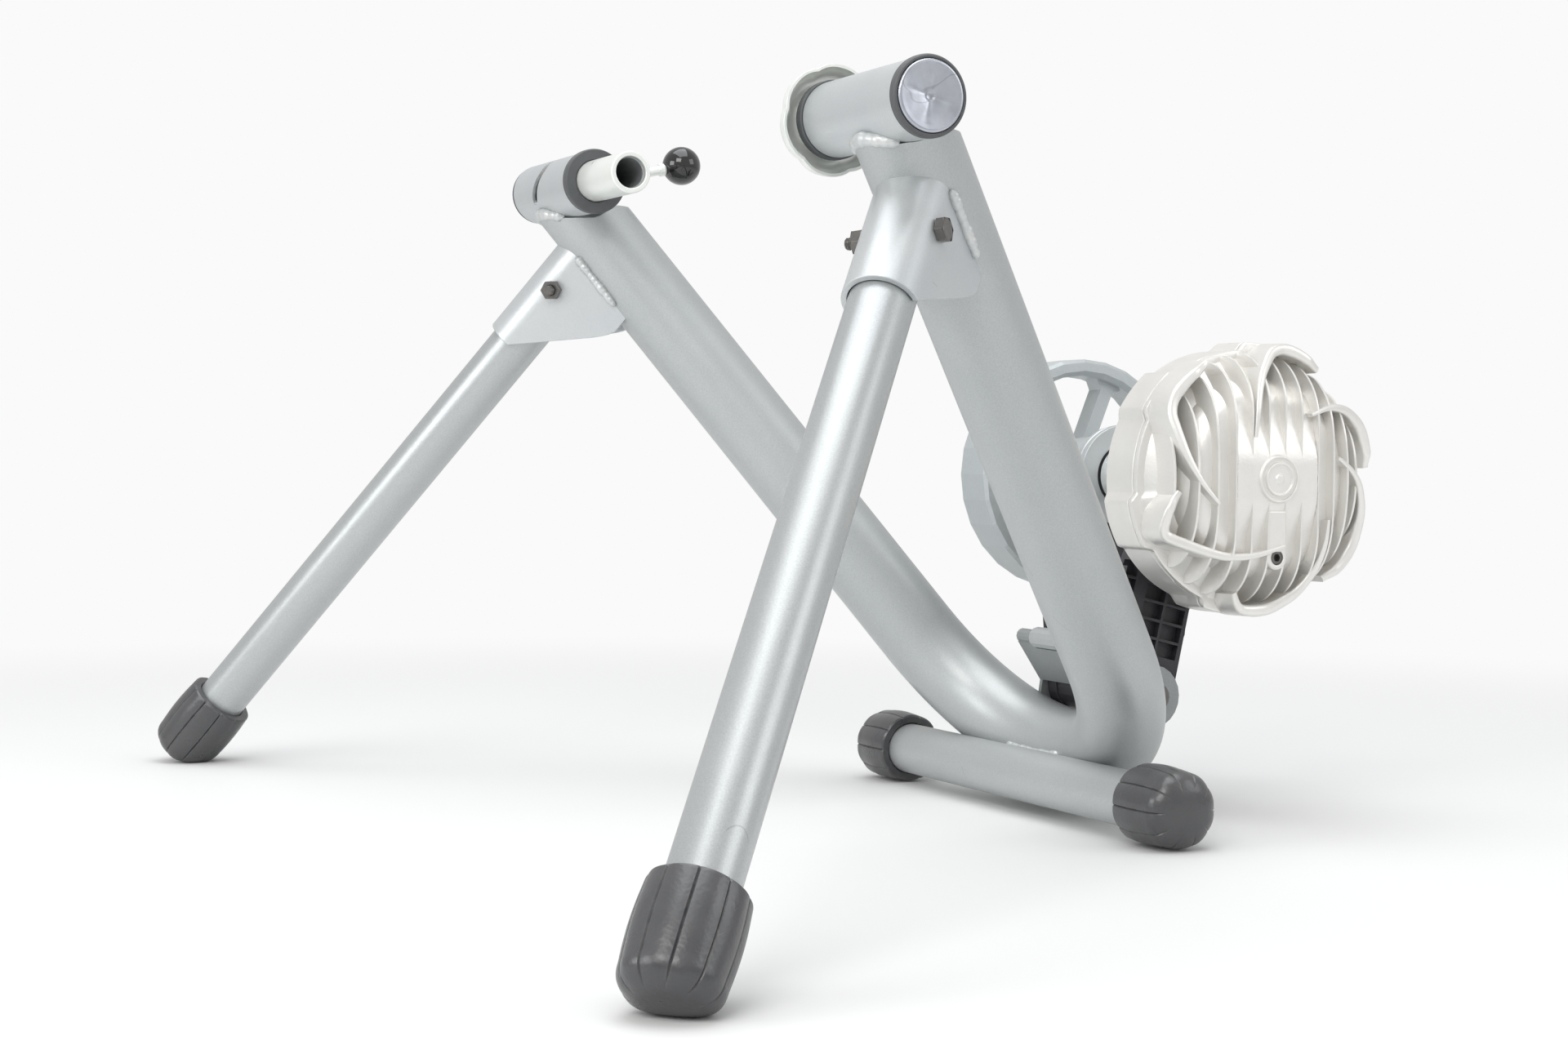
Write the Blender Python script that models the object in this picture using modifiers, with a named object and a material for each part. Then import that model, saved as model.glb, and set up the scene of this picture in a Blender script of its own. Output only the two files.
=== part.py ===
# Folding bike trainer with a fluid resistance unit, built as its separate pieces.
# The axle line runs along X, the rear of the trainer is at +Y, the floor is at Z = 0.
import bpy
import bmesh
from math import cos, hypot, inf, pi, radians, sin, sqrt, tan
from mathutils import Matrix, Vector

# Gap left between two pieces that touch
TOUCH = 0.0003

# Main frame
AXLE_HEIGHT = 0.3815
MAIN_TUBE_DIAMETER = 0.0508
MAIN_TUBE_WALL = 0.0020
ARM_SPREAD = 0.4472
ARM_SLOPE = radians(54.6)
ARM_CONVERGENCE = radians(18.0)
BEND_AXIS_HEIGHT = 0.0342
ARM_SETBACK = 0.0025
ARM_TOP_DROP = 0.011
HEAD_INSET = 0.0627
REAR_BAR_DIAMETER = 0.03175
REAR_BAR_WALL = 0.0016
REAR_BAR_LENGTH = 0.337
REAR_BAR_BITE = 0.0016
WELD_BEAD_RADIUS = 0.0026
WELD_BITE = 0.0008
HEAD_BEAD_RADIUS = 0.0036
HEAD_BEAD_INNER = 0.0170
HEAD_BEAD_OUTER = 0.0070
CHEEK_BEAD_ABOVE_BOLT = 0.0040
CHEEK_BEAD_BELOW_BOLT = 0.0320
BAR_BEAD_LENGTH = 0.0600

# Heads that carry the axle clamps
HEAD_DIAMETER = 0.0381
HEAD_WALL = 0.0020
HEAD_TUBE_LENGTH = 0.0925
FLANGE_DIAMETER = 0.0400
INNER_FLANGE = 0.0065
OUTER_FLANGE = 0.0050
BUSH_DEPTH = 0.022
END_DISC_DIAMETER = 0.0332
END_DISC_THICKNESS = 0.0030
END_DISC_DIMPLE = 0.0080
END_DISC_DIMPLE_WIDTH = 0.0120
END_DISC_CENTRE = 0.0032
END_DISC_CROWN = 0.0012
BUSH_CLEARANCE = 0.0004
BUSH_CHAMFER = 0.0008

# Left clamp, worked by the cam lever
PLUNGER_DIAMETER = 0.0254
PLUNGER_BORE = 0.0190
PLUNGER_REACH = 0.057
PLUNGER_LENGTH = 0.1395
LEVER_SETBACK = 0.0630
LEVER_ANGLE = radians(13.4)
LEVER_TURN = radians(160.0)
CLAMP_TRAVEL = 0.0067
LEVER_ROD_DIAMETER = 0.0060
LEVER_SLOT_CLEARANCE = 0.0008
LEVER_LENGTH = 0.0867
LEVER_KNOB_DIAMETER = 0.0250
THRUST_WASHER_THICKNESS = 0.0030

# Right clamp, worked by the star nut
CUP_DIAMETER = 0.0254
CUP_BORE = 0.0190
CUP_REACH = 0.0290
CUP_LENGTH = 0.100
STAR_NUT_DIAMETER = 0.0570
STAR_NUT_LOBES = 6
STAR_NUT_LOBE_DEPTH = 0.0026
STAR_NUT_PLATE = 0.0028
STAR_NUT_HUB_DIAMETER = 0.0360
STAR_NUT_HUB_LENGTH = 0.0060

# Folding legs
LEG_DIAMETER = 0.03175
LEG_WALL = 0.0016
FOOT_SPREAD = 0.8310
FOOT_REACH = 0.1896
LEG_PIVOT_DROP = 0.0468
LEG_FOLD_GAP = 0.0012
BRACKET_SHEET = 0.0030
BRACKET_CLEARANCE = 0.0005
BRACKET_LENGTH = 0.0470
BRACKET_REACH = 0.0480
BRACKET_CORNER_RISE = 0.0030
BRACKET_CORNER = 0.0100
PIVOT_BOLT_DIAMETER = 0.00635
PIVOT_HEX = 0.0111
PIVOT_HEAD_HEIGHT = 0.0044
PIVOT_NUT_HEIGHT = 0.0056
PIVOT_THREAD_END = 0.0045
PIVOT_SLEEVE_DIAMETER = 0.0100

# Rubber feet
FOOT_DIAMETER = 0.0460
FOOT_SLEEVE = 0.0285
LEG_FOOT_SHOULDER = 0.0100
FOOT_DOME = 0.0135
FOOT_FLAT = 0.0008
FOOT_LIP = 0.0030
FOOT_LIP_BEVEL = 0.0015
FOOT_WALL_BELOW_TUBE = 0.0100
REAR_FOOT_LENGTH = 0.0440

# Resistance unit: roller, yoke and mounting bracket
WHEEL_RADIUS = 0.3370
ROLLER_DIAMETER = 0.0380
ROLLER_LENGTH = 0.0660
ROLLER_ANGLE = radians(30.4)
YOKE_PIVOT_BACK = 0.0259
YOKE_PIVOT_UP = 0.0363
YOKE_WIDTH = 0.0880
YOKE_ARM_THICKNESS = 0.0100
YOKE_FOOT_RADIUS = 0.0165
YOKE_FOOT_STEP = 0.0010
YOKE_RING_RADIUS = 0.0310
RING_SHOULDER = radians(15.0)
YOKE_FRONT_WIDTH = 0.0370
YOKE_REAR_WIDTH = 0.0150
YOKE_WAIST = 0.0560
YOKE_POCKET_DEPTH = 0.0055
YOKE_POCKET_PITCH = 0.0107
YOKE_RIB = 0.0016
YOKE_POCKET_START = 0.0235
YOKE_POCKET_COLUMNS = ((-0.0345, -0.0265), (-0.0180, -0.0035), (-0.0020, 0.0125))
YOKE_POCKET_ROWS = (range(2, 5), range(0, 6), range(0, 5))
YOKE_PIVOT_BOLT_DIAMETER = 0.0100
YOKE_PIVOT_HEAD_DIAMETER = 0.0170
YOKE_PIVOT_HEAD_HEIGHT = 0.0060
YOKE_PIVOT_HEAD_BEVEL = 0.0010
YOKE_PIVOT_SOCKET = 0.0060
YOKE_PIVOT_SOCKET_DEPTH = 0.0040
YOKE_PIVOT_CAP_DIAMETER = 0.0300
YOKE_PIVOT_CAP_HEIGHT = 0.0110
YOKE_PIVOT_CAP_BEVEL = 0.0030
YOKE_PIVOT_CAP_BUMP = 0.0090
YOKE_PIVOT_CAP_BUMP_HEIGHT = 0.0015
RUNNING_GAP = 0.0003
BRACKET_CHEEK = 0.0030
BRACKET_EAR_RADIUS = 0.0190
EAR_START = radians(112.0)
EAR_END = radians(81.0)
WEB_TOP_AHEAD = 0.0366
WEB_TOP_UP = 0.0275
WEB_FOOT_AHEAD = 0.0201
WEB_FOOT_UP = 0.0030
BARREL_DIAMETER = 0.0130
BARREL_LENGTH = 0.0560
BARREL_UP = 0.0310
BARREL_AHEAD = 0.0341
KNUCKLE_DIAMETER = 0.0090
KNUCKLE_PIN_DIAMETER = 0.0050
KNUCKLE_PIN_INSET = 0.0010

# Tension screw
CROSSBAR_UP = 0.0350
CROSSBAR_DIAMETER = 0.0180
TENSION_BOLT_DIAMETER = 0.0080
TENSION_HOLE_CLEARANCE = 0.0015
TENSION_SEAT_GAP = 0.0005
TENSION_WASHER_DIAMETER = 0.0200
TENSION_WASHER_THICKNESS = 0.0020
TENSION_KNOB_DIAMETER = 0.0340
TENSION_KNOB_LENGTH = 0.0240
TENSION_KNOB_LOBES = 6
TENSION_KNOB_LOBE_DEPTH = 0.0010
TENSION_KNOB_FLOOR = 0.0030
TENSION_PIN_GAP = 0.0008
TENSION_SPARE_THREAD = 0.0060

# Rotor
SHAFT_DIAMETER = 0.0100
BEARING_DIAMETER = 0.0260
BEARING_WIDTH = 0.0080
ROLLER_CHAMFER = 0.0015
FLYWHEEL_DIAMETER = 0.1490
FLYWHEEL_WIDTH = 0.0320
FLYWHEEL_RIM = 0.0105
FLYWHEEL_BEVEL = 0.0020
FLYWHEEL_LIP = 0.0030
FLYWHEEL_LIP_DEPTH = 0.0040
FLYWHEEL_INSET = 0.0360
FLYWHEEL_SPOKES = 5
FLYWHEEL_SPOKE_WIDTH = 0.0090
FLYWHEEL_SPOKE_DEPTH = 0.0140
FLYWHEEL_SPOKE_ANGLE = radians(68.0)
FLYWHEEL_HUB_DIAMETER = 0.0490
FLYWHEEL_HUB_INSET = 0.0060
FLYWHEEL_HUB_RECESS = 0.0100
FLYWHEEL_HUB_END_DIAMETER = 0.0360
FLYWHEEL_HUB_WAIST_DIAMETER = 0.0390
FLYWHEEL_HUB_BEVEL = 0.0045
FLYWHEEL_SPOKE_FLARE = 0.0063
FLYWHEEL_THREAD_END = 0.0020
FLYWHEEL_NUT_HEX = 0.0170
FLYWHEEL_NUT_HEIGHT = 0.0080

# Fluid housing, its heights counted outwards from the yoke's right face
HOUSING_NECK_DIAMETER = 0.0560
HOUSING_NECK_LENGTH = 0.0110
HOUSING_BACK_DIAMETER = 0.1340
HOUSING_SEAM_DIAMETER = 0.1500
HOUSING_DEPTH = 0.0330
HOUSING_WALL = 0.0040
HOUSING_ROUNDING = 0.0060
LOBE_SETBACK = 0.0010
LOBE_FROM_BACK = 0.0030
LOBE_BEFORE_CORNER = radians(18.0)
LOBE_AFTER_CORNER = radians(10.0)
LEDGE_STARTS = (radians(219.0), radians(230.0))
LEDGE_END = radians(250.0)
LEDGE_DIAMETER = 0.1480
LEDGE_WIDENING = 0.0010
LEDGE_FROM_BACK = 0.0040
LEDGE_STEP = 0.0090
SEAL_DIAMETER = 0.0300
SEAL_THICKNESS = 0.0050

# Finned cover: a dome with upright fins and swirling guard blades
COVER_FLANGE = 0.0040
DOME_DIAMETER = 0.1360
DOME_FLAT_DIAMETER = 0.0700
DOME_HEIGHT = 0.0290
DOME_POWER = 0.85
COVER_WALL = 0.0035
COVER_FILLET = 0.0010
FIN_HEIGHT = 0.0075
FIN_THICKNESS = 0.0020
FIN_PITCH = 0.0115
FIN_COUNT = 12
FIN_FOOT_DIAMETER = 0.1480
PANEL_WIDTH = 0.0540
PANEL_HEIGHT = 0.0480
PANEL_BEVEL = 0.0120
PANEL_PROUD = 0.0010
MEDALLION_DIAMETER = 0.0300
MEDALLION_HEIGHT = 0.0012
BLADE_COUNT = 6
BLADE_CORNER_ANGLE = radians(24.0)
BLADE_THICKNESS = 0.0042
BLADE_RIM_DIAMETER = 0.1610
BLADE_RIM_LENGTH = radians(24.0)
BLADE_RIM_DIP = 0.0030
BLADE_CURL = 1.5
BLADE_TIP_DIAMETER = 0.0740
BLADE_SWEEP = radians(58.0)
BLADE_RIM_DEPTH = 0.0150
BLADE_PROUD = 0.0020
BLADE_SHOULDER_DIAMETER = 0.1500
BLADE_SHOULDER_DEPTH = 0.0190
BLADE_TIP_SHARE = 0.4
DRAIN_DROP = 0.0450
DRAIN_BOSS_DIAMETER = 0.0145
DRAIN_BOSS_LENGTH = 0.0160
DRAIN_SCREW_DIAMETER = 0.0080
DRAIN_SCREW_LENGTH = 0.0060
DRAIN_SCREW_INSET = 0.0005
DRAIN_SOCKET_DEPTH = 0.0024
IMPELLER_DIAMETER = 0.1160
IMPELLER_DEPTH = 0.0180
IMPELLER_DISC = 0.0040
IMPELLER_HUB_DIAMETER = 0.0200
IMPELLER_BLADE_LENGTH = 0.0350
IMPELLER_BLADE_THICKNESS = 0.0030
IMPELLER_BLADE_DEPTH = 0.0110
IMPELLER_BLADE_INSET = 0.0140
IMPELLER_BLADES = 8
IMPELLER_GAP = 0.0040

# How finely curved forms are divided
ROUND_STEPS = 20
SMALL_STEPS = 12
WIDE_STEPS = 28
DOME_STEPS = 4
TUBE_RESOLUTION = 5
BEND_STEPS = 6
SLOT_STEPS = 16
EDGE_OFFSET = radians(7.0)
SHARP_ANGLE = radians(35)

# How far a cut that runs right through carries on
FAR = 0.5

# Finishes: colour, metallic value, roughness
PAINT = ((0.38, 0.40, 0.41), 0.55, 0.42)
ZINC = ((0.72, 0.73, 0.70), 1.0, 0.28)
STEEL = ((0.60, 0.60, 0.59), 1.0, 0.25)
BLACK_STEEL = ((0.06, 0.06, 0.06), 0.8, 0.40)
DARK_PLASTIC = ((0.10, 0.105, 0.11), 0.0, 0.55)
BLACK_PLASTIC = ((0.025, 0.025, 0.028), 0.0, 0.50)
GLOSS_BLACK = ((0.012, 0.012, 0.012), 0.0, 0.08)
RUBBER = ((0.035, 0.036, 0.038), 0.0, 0.65)
CAST_ALUMINIUM = ((0.62, 0.60, 0.57), 0.9, 0.38)
WHEEL_PAINT = ((0.42, 0.46, 0.47), 0.35, 0.45)
BRASS = ((0.70, 0.52, 0.25), 1.0, 0.35)

# Sizes worked out from the values above
MAIN_R = MAIN_TUBE_DIAMETER / 2
BAR_R = REAR_BAR_DIAMETER / 2
HEAD_R = HEAD_DIAMETER / 2
LEG_R = LEG_DIAMETER / 2
FOOT_R = FOOT_DIAMETER / 2
ROLLER_R = ROLLER_DIAMETER / 2
PLUNGER_R = PLUNGER_DIAMETER / 2
CUP_R = CUP_DIAMETER / 2
SHAFT_R = SHAFT_DIAMETER / 2
FOOT_CENTRE_HEIGHT = FOOT_R - FOOT_FLAT

X, Y, Z = Vector((1, 0, 0)), Vector((0, 1, 0)), Vector((0, 0, 1))
AXLE = Vector((0, 0, AXLE_HEIGHT))


for old in list(bpy.data.objects):
    bpy.data.objects.remove(old, do_unlink=True)
parts = bpy.data.collections.new("bike_trainer")
cutters = bpy.data.collections.new("cutters")
for collection in (parts, cutters):
    bpy.context.scene.collection.children.link(collection)


def basis(origin, x_dir, y_dir):
    """A frame with its X and Y along the two directions."""
    x = Vector(x_dir).normalized()
    z = x.cross(Vector(y_dir)).normalized()
    y = z.cross(x)
    frame = Matrix((x, y, z)).transposed().to_4x4()
    frame.translation = Vector(origin)
    return frame


def along(origin, z_dir, hint=(0, 0, 1)):
    """A frame whose Z runs along a direction."""
    z = Vector(z_dir).normalized()
    side = Vector(hint).cross(z)
    if side.length < 0.01:
        side = Vector((1, 0, 0)).cross(z)
    return basis(origin, side, z.cross(side))


def spun(frame, angle):
    """The frame turned about its own Z, which keeps one round form's edges off another's."""
    return frame @ Matrix.Rotation(angle, 4, "Z")


def across(x):
    """A frame for outlines drawn in the Y-Z plane, with its thickness along X."""
    return basis((x, 0, 0), Y, Z)


def link(name, mesh, frame, finish=None):
    """Adds a piece of the trainer, or a cutting shape when there is no finish."""
    piece = bpy.data.objects.new(name, mesh)
    piece.matrix_world = frame
    if finish is None:
        cutters.objects.link(piece)
        piece.hide_render = True
        piece.display_type = "WIRE"
        return piece
    parts.objects.link(piece)
    colour, metallic, roughness = finish
    look = bpy.data.materials.new(name + "_finish")
    look.use_nodes = True
    shader = look.node_tree.nodes["Principled BSDF"]
    shader.inputs["Base Color"].default_value = (*colour, 1.0)
    shader.inputs["Metallic"].default_value = metallic
    shader.inputs["Roughness"].default_value = roughness
    look.diffuse_color = (*colour, 1.0)
    mesh.materials.append(look)
    return piece


def turned(name, profile, frame, finish=None, steps=ROUND_STEPS, closed=False):
    """Turns (radius, height) points, listed down the outer side, about the frame's Z axis."""
    mesh = bpy.data.meshes.new(name)
    count = len(profile)
    edges = [(i, i + 1) for i in range(count - 1)]
    if closed:
        edges.append((count - 1, 0))
    mesh.from_pydata([(r, 0, h) for r, h in profile], edges, [])
    piece = link(name, mesh, frame, finish)
    screw = piece.modifiers.new("turn", "SCREW")
    screw.steps = screw.render_steps = steps
    screw.use_merge_vertices = True
    screw.merge_threshold = 0.00001
    screw.use_smooth_shade = True
    return piece


def ring(name, inner, outer, low, high, frame, finish=None, steps=ROUND_STEPS):
    """A plain ring or sleeve between two heights."""
    profile = [(outer, high), (outer, low), (inner, low), (inner, high)]
    return turned(name, profile, frame, finish, steps, closed=True)


def disc(name, radius, low, high, frame, finish=None, steps=ROUND_STEPS):
    """A plain round bar between two heights."""
    return turned(name, [(0, high), (radius, high), (radius, low), (0, low)], frame, finish, steps)


def from_curve(name, curve, frame, finish):
    """Makes a curve into a welded mesh piece, so that it can be cut or joined."""
    guide = bpy.data.objects.new(name, curve)
    bpy.context.scene.collection.objects.link(guide)
    depsgraph = bpy.context.evaluated_depsgraph_get()
    mesh = bpy.data.meshes.new_from_object(guide.evaluated_get(depsgraph))
    bpy.data.objects.remove(guide, do_unlink=True)
    shape = bmesh.new()
    shape.from_mesh(mesh)
    bmesh.ops.remove_doubles(shape, verts=shape.verts, dist=0.00001)
    bmesh.ops.recalc_face_normals(shape, faces=shape.faces)
    shape.to_mesh(mesh)
    shape.free()
    mesh.materials.clear()
    mesh.shade_smooth()
    mesh.set_sharp_from_angle(angle=SHARP_ANGLE)
    return link(name, mesh, frame, finish)


def swept(name, points, radius, finish=None, resolution=TUBE_RESOLUTION):
    """A round bar that follows the points."""
    curve = bpy.data.curves.new(name, "CURVE")
    curve.dimensions = "3D"
    curve.bevel_depth = radius
    curve.bevel_resolution = resolution
    curve.use_fill_caps = True
    spline = curve.splines.new("POLY")
    spline.points.add(len(points) - 1)
    for point, place in zip(spline.points, points):
        point.co = (*place, 1)
    return from_curve(name, curve, Matrix(), finish)


def plate(name, outline, thickness, frame, finish=None):
    """A flat piece cut to an outline in the frame's X-Y plane."""
    curve = bpy.data.curves.new(name, "CURVE")
    curve.dimensions = "2D"
    curve.fill_mode = "BOTH"
    curve.extrude = thickness / 2
    spline = curve.splines.new("POLY")
    spline.points.add(len(outline) - 1)
    for point, (u, v) in zip(spline.points, outline):
        point.co = (u, v, 0, 1)
    spline.use_cyclic_u = True
    return from_curve(name, curve, frame, finish)


def block(name, size, frame, finish=None):
    """A rectangular block centred on the frame."""
    mesh = bpy.data.meshes.new(name)
    shape = bmesh.new()
    bmesh.ops.create_cube(shape, size=1.0)
    bmesh.ops.scale(shape, vec=size, verts=shape.verts)
    shape.to_mesh(mesh)
    shape.free()
    return link(name, mesh, frame, finish)


def combine(piece, tool, operation, solver):
    change = piece.modifiers.new(tool.name, "BOOLEAN")
    change.operation = operation
    change.object = tool
    change.solver = solver
    return piece


def cut(piece, *tools, solver="EXACT"):
    for tool in tools:
        combine(piece, tool, "DIFFERENCE", solver)
    return piece


def join(piece, *tools, solver="EXACT"):
    for tool in tools:
        combine(piece, tool, "UNION", solver)
    return piece


def keep(piece, tool, solver="EXACT"):
    return combine(piece, tool, "INTERSECT", solver)


def arc(centre, radius, start, end, count):
    """Points along an arc in a plane, both ends included."""
    turn = (end - start) / count
    return [(centre[0] + radius * cos(start + turn * i), centre[1] + radius * sin(start + turn * i))
            for i in range(count + 1)]


def rounded(corners, steps=4):
    """An outline with its (x, y, radius) corners rounded; a radius of 0 leaves a corner sharp."""
    outline = []
    for i, (x, y, radius) in enumerate(corners):
        here = Vector((x, y))
        if radius == 0:
            outline.append((x, y))
            continue
        before = (Vector(corners[i - 1][:2]) - here).normalized()
        after = (Vector(corners[(i + 1) % len(corners)][:2]) - here).normalized()
        half = before.angle(after) / 2
        centre = here + (before + after).normalized() * radius / sin(half)
        first = here + before * radius / tan(half) - centre
        turn = first.angle_signed(here + after * radius / tan(half) - centre)
        for step in range(steps + 1):
            spoke = first.copy()
            spoke.rotate(Matrix.Rotation(-turn * step / steps, 2))
            outline.append(tuple(centre + spoke))
    return outline


def hexagon(width):
    """A hexagon by its width across flats."""
    return arc((0, 0), width / sqrt(3), 0, 5 * pi / 3, 5)


def mirrored(vector, side):
    """The same vector on the right (+1) or the left (-1) side."""
    return Vector((vector[0] * side, vector[1], vector[2]))


def pivot(name, origin, z_dir):
    """An empty on a joint's axis, which carries the pieces that turn or slide there."""
    empty = bpy.data.objects.new(name, None)
    empty.empty_display_size = 0.02
    empty.matrix_world = along(origin, z_dir)
    bpy.context.scene.collection.objects.link(empty)
    return empty


def carry(empty, *pieces):
    """Hangs pieces on a pivot without moving them."""
    bpy.context.view_layer.update()
    for piece in pieces:
        piece.parent = empty
        piece.matrix_parent_inverse = empty.matrix_world.inverted()


# Centre line of the bent main tube: two sloping arms that converge into one round bend
slope = Vector((0, cos(ARM_SLOPE), -sin(ARM_SLOPE)))
arm_top = Vector((ARM_SPREAD / 2, ARM_SETBACK, AXLE_HEIGHT))
slope_length = (AXLE_HEIGHT - BEND_AXIS_HEIGHT) / sin(ARM_SLOPE)
bend_share = (1 - sin(ARM_CONVERGENCE)) / cos(ARM_CONVERGENCE)
arm_length = ((slope_length - bend_share * ARM_SPREAD / 2)
              / (cos(ARM_CONVERGENCE) - bend_share * sin(ARM_CONVERGENCE)))
bend_radius = (ARM_SPREAD / 2 - arm_length * sin(ARM_CONVERGENCE)) / cos(ARM_CONVERGENCE)
arm_dir = slope * cos(ARM_CONVERGENCE) - X * sin(ARM_CONVERGENCE)
bend_bottom = Vector((0, ARM_SETBACK + slope_length * slope.y, BEND_AXIS_HEIGHT))
bend_centre = bend_bottom - slope * bend_radius


def bend_point(x):
    """The point of the bend's centre line at a distance x from the middle."""
    return bend_centre + X * x + slope * sqrt(bend_radius ** 2 - x ** 2)


def main_line(top_setback, bend_steps):
    """The main tube's centre line from the left arm's top to the right arm's."""
    straight_end = arm_top + arm_dir * arm_length
    half = [arm_top + arm_dir * top_setback]
    for i in range(bend_steps):
        angle = ARM_CONVERGENCE + (pi / 2 - ARM_CONVERGENCE) * i / bend_steps
        half.append(bend_centre + X * bend_radius * cos(angle) + slope * bend_radius * sin(angle))
    half[1] = straight_end
    return [mirrored(p, -1) for p in half] + [bend_bottom] + list(reversed(half))


bar_height = FOOT_CENTRE_HEIGHT
bar_spacing = MAIN_R + BAR_R - REAR_BAR_BITE
bar_back = bend_bottom.y - sqrt(bar_spacing ** 2 - (BEND_AXIS_HEIGHT - bar_height) ** 2)
head_inner = ARM_SPREAD / 2 - HEAD_INSET
head_near = head_inner + INNER_FLANGE
head_far = head_near + HEAD_TUBE_LENGTH
head_outer = head_far + OUTER_FLANGE
bush_r = HEAD_R - HEAD_WALL - TOUCH
bush_bore = PLUNGER_R + BUSH_CLEARANCE
flange_r = FLANGE_DIAMETER / 2

# The legs: each lies in one plane with its arm, and folds about a bolt square to that plane
foot_point = Vector((FOOT_SPREAD / 2, -FOOT_REACH, FOOT_CENTRE_HEIGHT))
reach = foot_point - arm_top
off_arm = (reach - arm_dir * reach.dot(arm_dir)).normalized()
leg_pivot = arm_top + arm_dir * LEG_PIVOT_DROP + off_arm * (MAIN_R + LEG_R + LEG_FOLD_GAP)
leg_dir = (foot_point - leg_pivot).normalized()
leg_length = (foot_point - leg_pivot).length
fold_axis = leg_dir.cross(arm_dir).normalized()
inward = (arm_dir - leg_dir * arm_dir.dot(leg_dir)).normalized()

# The resistance unit, in the Y-Z plane
pivot_y = bend_bottom.y + YOKE_PIVOT_BACK
pivot_z = BEND_AXIS_HEIGHT + YOKE_PIVOT_UP
roller_y = (WHEEL_RADIUS + ROLLER_R) * cos(ROLLER_ANGLE)
roller_z = AXLE_HEIGHT - (WHEEL_RADIUS + ROLLER_R) * sin(ROLLER_ANGLE)
yoke_height = hypot(roller_y - pivot_y, roller_z - pivot_z)
yoke_up = ((roller_y - pivot_y) / yoke_height, (roller_z - pivot_z) / yoke_height)
yoke_back = (yoke_up[1], -yoke_up[0])
yoke_face = YOKE_WIDTH / 2
roller_axis = Vector((0, roller_y, roller_z))
barrel_y = pivot_y - BARREL_AHEAD
barrel_z = pivot_z + BARREL_UP
crossbar_y = pivot_y + yoke_up[0] * CROSSBAR_UP
crossbar_z = pivot_z + yoke_up[1] * CROSSBAR_UP
screw_dir = Vector((0, crossbar_y - barrel_y, crossbar_z - barrel_z)).normalized()
housing_back = yoke_face + HOUSING_NECK_LENGTH
housing_seam = housing_back + HOUSING_DEPTH


def on_yoke(up, back):
    """A Y-Z point by its height up the yoke and its distance behind the yoke's middle line."""
    return (pivot_y + yoke_up[0] * up + yoke_back[0] * back,
            pivot_z + yoke_up[1] * up + yoke_back[1] * back)


def make_main_tube():
    line = main_line(0, BEND_STEPS)
    tube = swept("main_frame_tube", line, MAIN_R, PAINT)
    bore = swept("main_tube_bore", extended(line, MAIN_R), MAIN_R - MAIN_TUBE_WALL)
    cut(tube, bore)
    for side in (-1, 1):
        top = block("arm_top_trim", (MAIN_TUBE_DIAMETER * 2, MAIN_TUBE_DIAMETER * 2, FAR),
                    Matrix.Translation((side * ARM_SPREAD / 2, 0, AXLE_HEIGHT - ARM_TOP_DROP + FAR / 2)))
        saddle = disc("head_saddle", HEAD_R + TOUCH, -HEAD_TUBE_LENGTH, HEAD_TUBE_LENGTH,
                      along((side * ARM_SPREAD / 2, 0, AXLE_HEIGHT), X))
        cut(tube, top, saddle)
    return tube


def extended(line, extra):
    """The line with both ends carried on by a little."""
    first = line[0] + (line[0] - line[1]).normalized() * extra
    last = line[-1] + (line[-1] - line[-2]).normalized() * extra
    return [first] + line[1:-1] + [last]


def main_clearance():
    return swept("main_tube_clearance", main_line(0, BEND_STEPS), MAIN_R + TOUCH)


def make_rear_bar(clearance):
    half = REAR_BAR_LENGTH / 2
    bar = ring("rear_bar", BAR_R - REAR_BAR_WALL, BAR_R, -half, half,
               along((0, bar_back, bar_height), X), PAINT)
    return cut(bar, clearance)


def make_rear_foot(side, name):
    """A round rubber cup over the end of the rear bar, with a domed end and a flat for the floor."""
    half = REAR_BAR_LENGTH / 2
    sleeve_end = half + FOOT_WALL_BELOW_TUBE - FOOT_DOME
    start = half + FOOT_WALL_BELOW_TUBE - REAR_FOOT_LENGTH
    foot = rubber_cup(name, BAR_R + TOUCH, half + TOUCH, sleeve_end, start,
                      along((0, bar_back, bar_height), X * side))
    return cut(foot, floor_cutter())


def rubber_cup(name, bore, tube_end, shoulder, mouth, frame):
    """A rubber cup with a domed end; its outer side is listed from the dome down to the open mouth."""
    power = 0.8
    profile = [(0, shoulder + FOOT_DOME)]
    for i in range(1, DOME_STEPS + 1):
        angle = pi / 2 * i / DOME_STEPS
        profile.append((FOOT_R * sin(angle) ** power, shoulder + FOOT_DOME * max(cos(angle), 0) ** power))
    profile += [(FOOT_R, mouth + FOOT_LIP), (FOOT_R - FOOT_LIP_BEVEL, mouth), (bore, mouth)]
    profile += [(bore, tube_end), (0, tube_end)]
    return turned(name, profile, frame, RUBBER)


def floor_cutter():
    return block("floor_cutter", (4 * FAR, 4 * FAR, FAR), Matrix.Translation((0, 0, -FAR / 2)))


def make_head_tube(side, name):
    return ring(name, HEAD_R - HEAD_WALL, HEAD_R, head_near + TOUCH, head_far - TOUCH,
                along(AXLE, X * side), PAINT)


def slot_point(turn, radius):
    """A point of the cam slot: it climbs towards the wheel as the lever turns over the top."""
    angle = LEVER_ANGLE + turn
    x = -head_inner - LEVER_SETBACK + CLAMP_TRAVEL * turn / LEVER_TURN
    return Vector((x, radius * cos(angle), AXLE_HEIGHT + radius * sin(angle)))


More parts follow.
